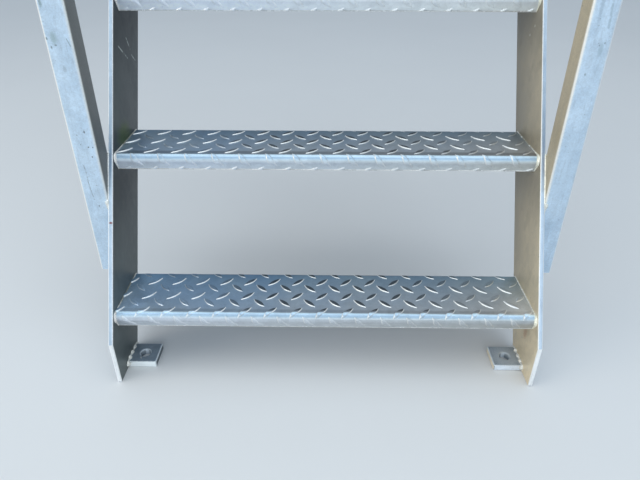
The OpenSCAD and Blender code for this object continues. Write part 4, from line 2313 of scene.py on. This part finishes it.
@dataclass
class Studio:
    """Pale floor, soft lamps and the camera.

    Attributes:
        floor: Colour of the floor.
        low_sky: Colour of the surround behind and low down.
        high_sky: Colour of the surround overhead and in front.
        ground: Half the floor's width, in metres.
        lens: Focal length, in millimetres on a 36 mm wide picture.
        eye: The camera's place, in metres.
        down: How far the camera looks down, in radians.
        yaw: How far it looks to the right, in radians.
        roll: How far it leans, in radians.
        lamps: A cool lamp overhead, a warm one at the left and a weak one in front.
    """

    floor: Colour = paint(220, 220, 219)
    low_sky: Colour = paint(140, 148, 156)
    high_sky: Colour = paint(202, 217, 232)
    ground: float = 9.0
    lens: float = 30.484
    eye: tuple[float, float, float] = (-0.0007, -0.7349, 0.6965)
    down: float = math.radians(31.085)
    yaw: float = math.radians(-0.615)
    roll: float = math.radians(0.117)
    lamps: tuple[Lamp, ...] = (
        Lamp("overhead", (0.0, -0.7, 3.4), (0.0, -0.5, 0.0), (5.0, 2.8), 1.15, (0.93, 0.98, 1.0)),
        Lamp("warm_side", (-3.9, -1.5, 1.6), (0.3, 0.2, 0.5), (2.2, 2.0), 3.0, (1.0, 0.90, 0.76)),
        Lamp("front", (0.3, -4.6, 1.9), (0.0, 0.2, 0.6), (3.6, 2.2), 1.7, (0.92, 0.97, 1.0)),
    )

    def build(self) -> None:
        """Sets the scene."""
        self.lay_floor()
        for lamp in self.lamps:
            lamp.hang()
        self.set_world()
        self.set_camera()
        bpy.context.scene.view_settings.view_transform = "Standard"

    def lay_floor(self) -> None:
        """Lays the pale floor."""
        made = Shell()
        low, high = (-self.ground, -self.ground), (self.ground, self.ground)
        made.cap(made.add((x, y, 0.0) for x, y in oblong(low, high)))
        mesh = made.mesh("studio_floor")
        floor = bpy.data.objects.new("studio_floor", mesh)
        bpy.context.scene.collection.objects.link(floor)
        floor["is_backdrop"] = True
        material = bpy.data.materials.new("pale_floor")
        material.use_nodes = True
        bench = Bench(material.node_tree)
        clouds = bench.noise(0.9)
        colour = bench.shade(self.floor, 0.97 + clouds * 0.06)
        bench.coat({"Base Color": colour, "Roughness": 0.85})
        mesh.materials.append(material)

    def set_world(self) -> None:
        """Sets a pale surround: bright overhead and in front, darker low down behind."""
        world = bpy.data.worlds.new("studio")
        world.use_nodes = True
        bpy.context.scene.world = world
        bench = Bench(world.node_tree)
        _, back, up = bench.axes(bench.wire("ShaderNodeTexCoord", output="Generated"))
        dome = up.step(0.42, 0.66).most(back.step(-0.05, -0.55) * up.step(-0.1, 0.25))
        colour = bench.mix(self.low_sky, self.high_sky, dome)
        light = bench.wire("ShaderNodeBackground", {}, {"Color": colour})
        bench.node("ShaderNodeOutputWorld", {}, {"Surface": light})

    def set_camera(self) -> None:
        """Puts the camera where the photograph was taken from."""
        lens = bpy.data.cameras.new("photograph")
        lens.sensor_fit = "HORIZONTAL"
        lens.sensor_width = 36.0
        lens.lens = self.lens
        lens.clip_start = 0.01
        camera = bpy.data.objects.new("photograph", lens)
        level = math.cos(self.down)
        forward = Vector((math.sin(self.yaw) * level, math.cos(self.yaw) * level, -math.sin(self.down)))
        right = Vector((math.cos(self.yaw), -math.sin(self.yaw), 0.0))
        turn = Matrix((right, right.cross(forward), -forward)).transposed().to_4x4()
        camera.matrix_world = Matrix.Translation(self.eye) @ turn @ Matrix.Rotation(self.roll, 4, "Z")
        bpy.context.scene.collection.objects.link(camera)
        bpy.context.scene.camera = camera


# Finishes, as the photograph shows them

TREAD_ZINC = TreadZinc(
    name="trodden_zinc",
    tone=paint(130, 154, 178),
    dull=paint(148, 164, 176),
    warm=paint(160, 165, 167),
    bright=paint(244, 245, 242),
    metallic=0.62,
    roughness=0.34,
    crystals=0.10,
    streaks=0.12,
    specks=0.2,
    flecks=0.1,
)
BAR_ZINC = Zinc(
    name="flat_bar_zinc",
    tone=paint(192, 208, 222),
    dull=paint(172, 190, 208),
    bright=paint(250, 250, 248),
    grain=(1.0, 6.0, 10.0),
    streaks=0.12,
    # Sawn ends that look straight ahead: pale zinc with painted light
    cut=paint(252, 254, 254),
    # Painted shade on the left side's inner face and painted warm light on the right's, with painted shade
    # under each tread and painted light near the floor
    painted_side_light=PaintedSideLight(0.350, paint(66, 71, 69), paint(182, 168, 142), foot=2.3, under_tread_shade=0.52),
    marks=(
        StainAndPaintedLight((-0.354, 0.0905, 0.3482), (0.0022, 0.034, 0.058), paint(138, 164, 192), 0.8),
        StainAndPaintedLight((0.354, 0.0960, 0.3577), (0.0022, 0.040, 0.068), paint(150, 166, 192), 0.8),
        StainAndPaintedLight((-0.3535, 0.0393, 0.2595), (0.004, 0.002, 0.003), paint(128, 62, 56), 0.95),
        StainAndPaintedLight((0.350, -0.004, 0.071), (0.004, 0.010, 0.018), paint(190, 140, 100), 0.55),
        StainAndPaintedLight((-0.350, 0.160, 0.366), (0.004, 0.044, 0.030), paint(88, 106, 50), 0.7),
        StainAndPaintedLight((0.350, 0.2363, 0.5347), (0.002, 0.003, 0.003), paint(216, 214, 200), 0.8),
        StainAndPaintedLight((0.350, 0.2518, 0.5174), (0.002, 0.003, 0.003), paint(216, 214, 200), 0.8),
        Scratch((-0.350, 0.2513, 0.5098), (-0.350, 0.2618, 0.4892), 0.0017, paint(190, 196, 192), 0.95),
        Scratch((-0.350, 0.2067, 0.5054), (-0.350, 0.2414, 0.4782), 0.0018, paint(190, 196, 192), 0.95),
        Scratch((-0.350, 0.2642, 0.4783), (-0.350, 0.2780, 0.4665), 0.0018, paint(190, 196, 192), 0.95),
    ),
)
LUG_ZINC = Zinc(
    name="fixing_zinc",
    tone=paint(132, 146, 158),
    dull=paint(104, 118, 130),
    # Sawn ends that look straight ahead: pale zinc with painted light
    cut=paint(226, 236, 246),
    patch=0.05,
    metallic=0.12,
    # Painted shade on the lugs' sides that face right and painted warm light on those that face left
    painted_side_light=PaintedSideLight(0.300, paint(96, 106, 112), paint(226, 214, 190)),
    marks=(
        # Painted light on the left lug's front and on the right lug's top
        StainAndPaintedLight((-0.325, -0.025, 0.006), (0.07, 0.004, 0.022), paint(250, 255, 255), 1.0),
        StainAndPaintedLight((0.326, 0.0, 0.012), (0.042, 0.044, 0.003), paint(184, 192, 198), 0.8),
    ),
)
# Front faces of the lower posts, in metres along Y
POST_FRONT = 0.058
# Stains on them: across, up, half width, half height, colour, cover
POST_STAINS = (
    (-0.384, 0.546, 0.007, 0.012, (150, 172, 176), 0.7),
    (-0.3937, 0.5452, 0.002, 0.003, (110, 130, 134), 0.9),
    (-0.383, 0.5363, 0.003, 0.002, (120, 134, 142), 0.8),
    (-0.3897, 0.5334, 0.002, 0.003, (120, 136, 142), 0.8),
    (-0.3907, 0.5913, 0.003, 0.008, (136, 158, 162), 0.8),
    (-0.378, 0.5036, 0.004, 0.007, (160, 176, 188), 0.7),
    (0.3707, 0.590, 0.004, 0.030, (160, 180, 196), 0.6),
    (0.3836, 0.533, 0.005, 0.014, (158, 180, 192), 0.6),
    (0.3873, 0.5423, 0.0016, 0.002, (130, 150, 160), 0.8),
    (0.3707, 0.4989, 0.0016, 0.003, (130, 150, 160), 0.8),
    (-0.3712, 0.4085, 0.0016, 0.0034, (86, 94, 104), 0.9),
    (-0.3812, 0.3880, 0.0011, 0.0013, (96, 104, 116), 0.9),
    (-0.3701, 0.3839, 0.0015, 0.0018, (80, 88, 98), 0.95),
    (-0.3633, 0.3835, 0.0014, 0.0015, (84, 92, 102), 0.95),
    (-0.3675, 0.3677, 0.0016, 0.0018, (76, 84, 94), 0.95),
    (-0.3746, 0.2813, 0.0014, 0.0026, (92, 102, 112), 0.8),
)
# Scratches on them: across and up for both ends, half width, colour, cover
POST_SCRATCHES = (
    (0.3839, 0.60, 0.3869, 0.5629, 0.0026, (150, 172, 184), 0.5),
    (-0.3658, 0.5447, -0.3622, 0.5348, 0.0011, (140, 158, 168), 0.8),
    (-0.3848, 0.3550, -0.3827, 0.3393, 0.0013, (116, 128, 138), 0.65),
    (-0.3827, 0.3393, -0.3836, 0.3246, 0.0009, (120, 130, 138), 0.6),
    (-0.3836, 0.3246, -0.3802, 0.2929, 0.0011, (116, 128, 138), 0.65),
)
POST_ZINC = Zinc(
    name="post_zinc",
    tone=paint(201, 220, 236),
    dull=paint(178, 199, 217),
    patch=0.03,
    patches=0.6,
    crystal=0.004,
    crystals=0.08,
    grain=(1.0, 1.0, 7.0),
    streaks=0.14,
    specks=0.5,
    flecks=0.2,
    mottle=0.34,
    metallic=0.25,
    roughness=0.48,
    bright=paint(255, 252, 244),
    # Painted shade on the left posts' inner faces and painted warm light on the right ones'
    painted_side_light=PaintedSideLight(0.358, paint(110, 110, 106), paint(208, 190, 156)),
    marks=(
        *(StainAndPaintedLight((x, POST_FRONT, z), (w, 0.002, h), paint(*tone), c) for x, z, w, h, tone, c in POST_STAINS),
        StainAndPaintedLight((0.378, POST_FRONT, 0.350), (0.05, 0.003, 0.11), paint(170, 192, 210), 0.25),
        *(
            Scratch((x0, POST_FRONT, z0), (x1, POST_FRONT, z1), width, paint(*tone), cover)
            for x0, z0, x1, z1, width, tone, cover in POST_SCRATCHES
        ),
    ),
)
RAIL_ZINC = Zinc(
    name="rail_zinc",
    tone=paint(188, 200, 210),
    dull=paint(168, 182, 194),
    grain=(1.0, 4.0, 7.0),
    metallic=0.45,
    roughness=0.38,
)
WELD_ZINC = Zinc(
    name="weld_zinc",
    tone=paint(200, 202, 198),
    dull=paint(160, 164, 162),
    bright=paint(238, 236, 226),
    patch=0.006,
    patches=0.5,
    metallic=0.3,
    roughness=0.34,
    marks=(
        # Painted highlights on the welds round each nose
        *(
            StainAndPaintedLight((x, FLIGHT.going * k - 0.030, FLIGHT.rise * k + 0.114), (0.02, 0.028, 0.036), colour, 1.0)
            for x, colour in ((0.348, paint(255, 252, 232)), (-0.348, paint(242, 238, 232)))
            for k in range(FLIGHT.steps)
        ),
        # Painted shade along the welds on the treads' tops, darker and greener on the left, warmer on the
        # right like the painted warm light beside them
        *(
            StainAndPaintedLight((x, FLIGHT.going * k + 0.040, FLIGHT.rise * k + 0.126), (0.02, 0.055, 0.014), colour, 0.9)
            for x, colour, first in ((0.348, paint(150, 146, 130), 1), (-0.348, paint(124, 128, 114), 0))
            for k in range(first, FLIGHT.steps)
        ),
        # Painted highlights on the welds beside the lower posts
        StainAndPaintedLight((0.359, 0.080, 0.328), (0.02, 0.05, 0.08), paint(255, 253, 238), 1.0),
        StainAndPaintedLight((-0.359, 0.080, 0.328), (0.02, 0.05, 0.08), paint(255, 255, 250), 1.0),
    ),
)


def tears(pitch: float, row: float, rising: Point2, falling: Point2, band: float = 0.0) -> TearPattern:
    """A tread's pattern from one tear of each family.

    Args:
        pitch: Distance from tear to tear, in millimetres.
        row: Distance from row to row, in millimetres.
        rising: Place of a tear that leans to the right, across and along, in millimetres.
        falling: The same for one that leans to the left.
        band: How much higher up the nose its band of painted reflection lies, in degrees.

    Returns:
        The pattern.
    """
    leans = ((45, rising), (-45, falling))
    rows = tuple(TearRow(math.radians(lean), x * MM, s * MM) for lean, (x, s) in leans)
    return TearPattern(pitch * MM, row * MM, rows, band=math.radians(band))


PATTERNS = (
    tears(43.0, 42.05, (-5.5, 4.7), (16.4, 27.9), 24.0),
    tears(44.9, 43.0, (21.3, 11.2), (-1.0, 32.9), -5.0),
    tears(45.1, 43.0, (17.5, 10.0), (-4.3, 32.0)),
    tears(45.0, 43.0, (8.0, 11.0), (30.5, 32.5)),
    tears(45.0, 43.0, (-12.0, 20.0), (10.5, 41.5)),
    tears(45.0, 43.0, (3.0, 7.0), (25.5, 28.5)),
)


def main() -> None:
    """Builds the flight's pieces in order, then the studio."""
    logging.basicConfig(level=logging.INFO, format="%(name)s: %(message)s")
    treads = TreadPlates(TREAD_ZINC, patterns=PATTERNS)
    parts: tuple[SubAssembly, ...] = (
        treads,
        Sides(BAR_ZINC),
        FloorLugs(LUG_ZINC),
        HeadPlates(LUG_ZINC),
        Posts(POST_ZINC),
        Rails(RAIL_ZINC),
        Welds(WELD_ZINC, treads),
    )
    pieces = [piece for part in parts for piece in part.build()]
    for piece in pieces:
        LOG.info("%s: %d faces", piece.name, len(piece.data.polygons))
    Studio().build()
    boxes = {"cad": CAD_BOX, "visual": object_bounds()}
    {k: [[float(v) for v in corner] for corner in box] for k, box in boxes.items()}


if __name__ == "__main__":
    main()
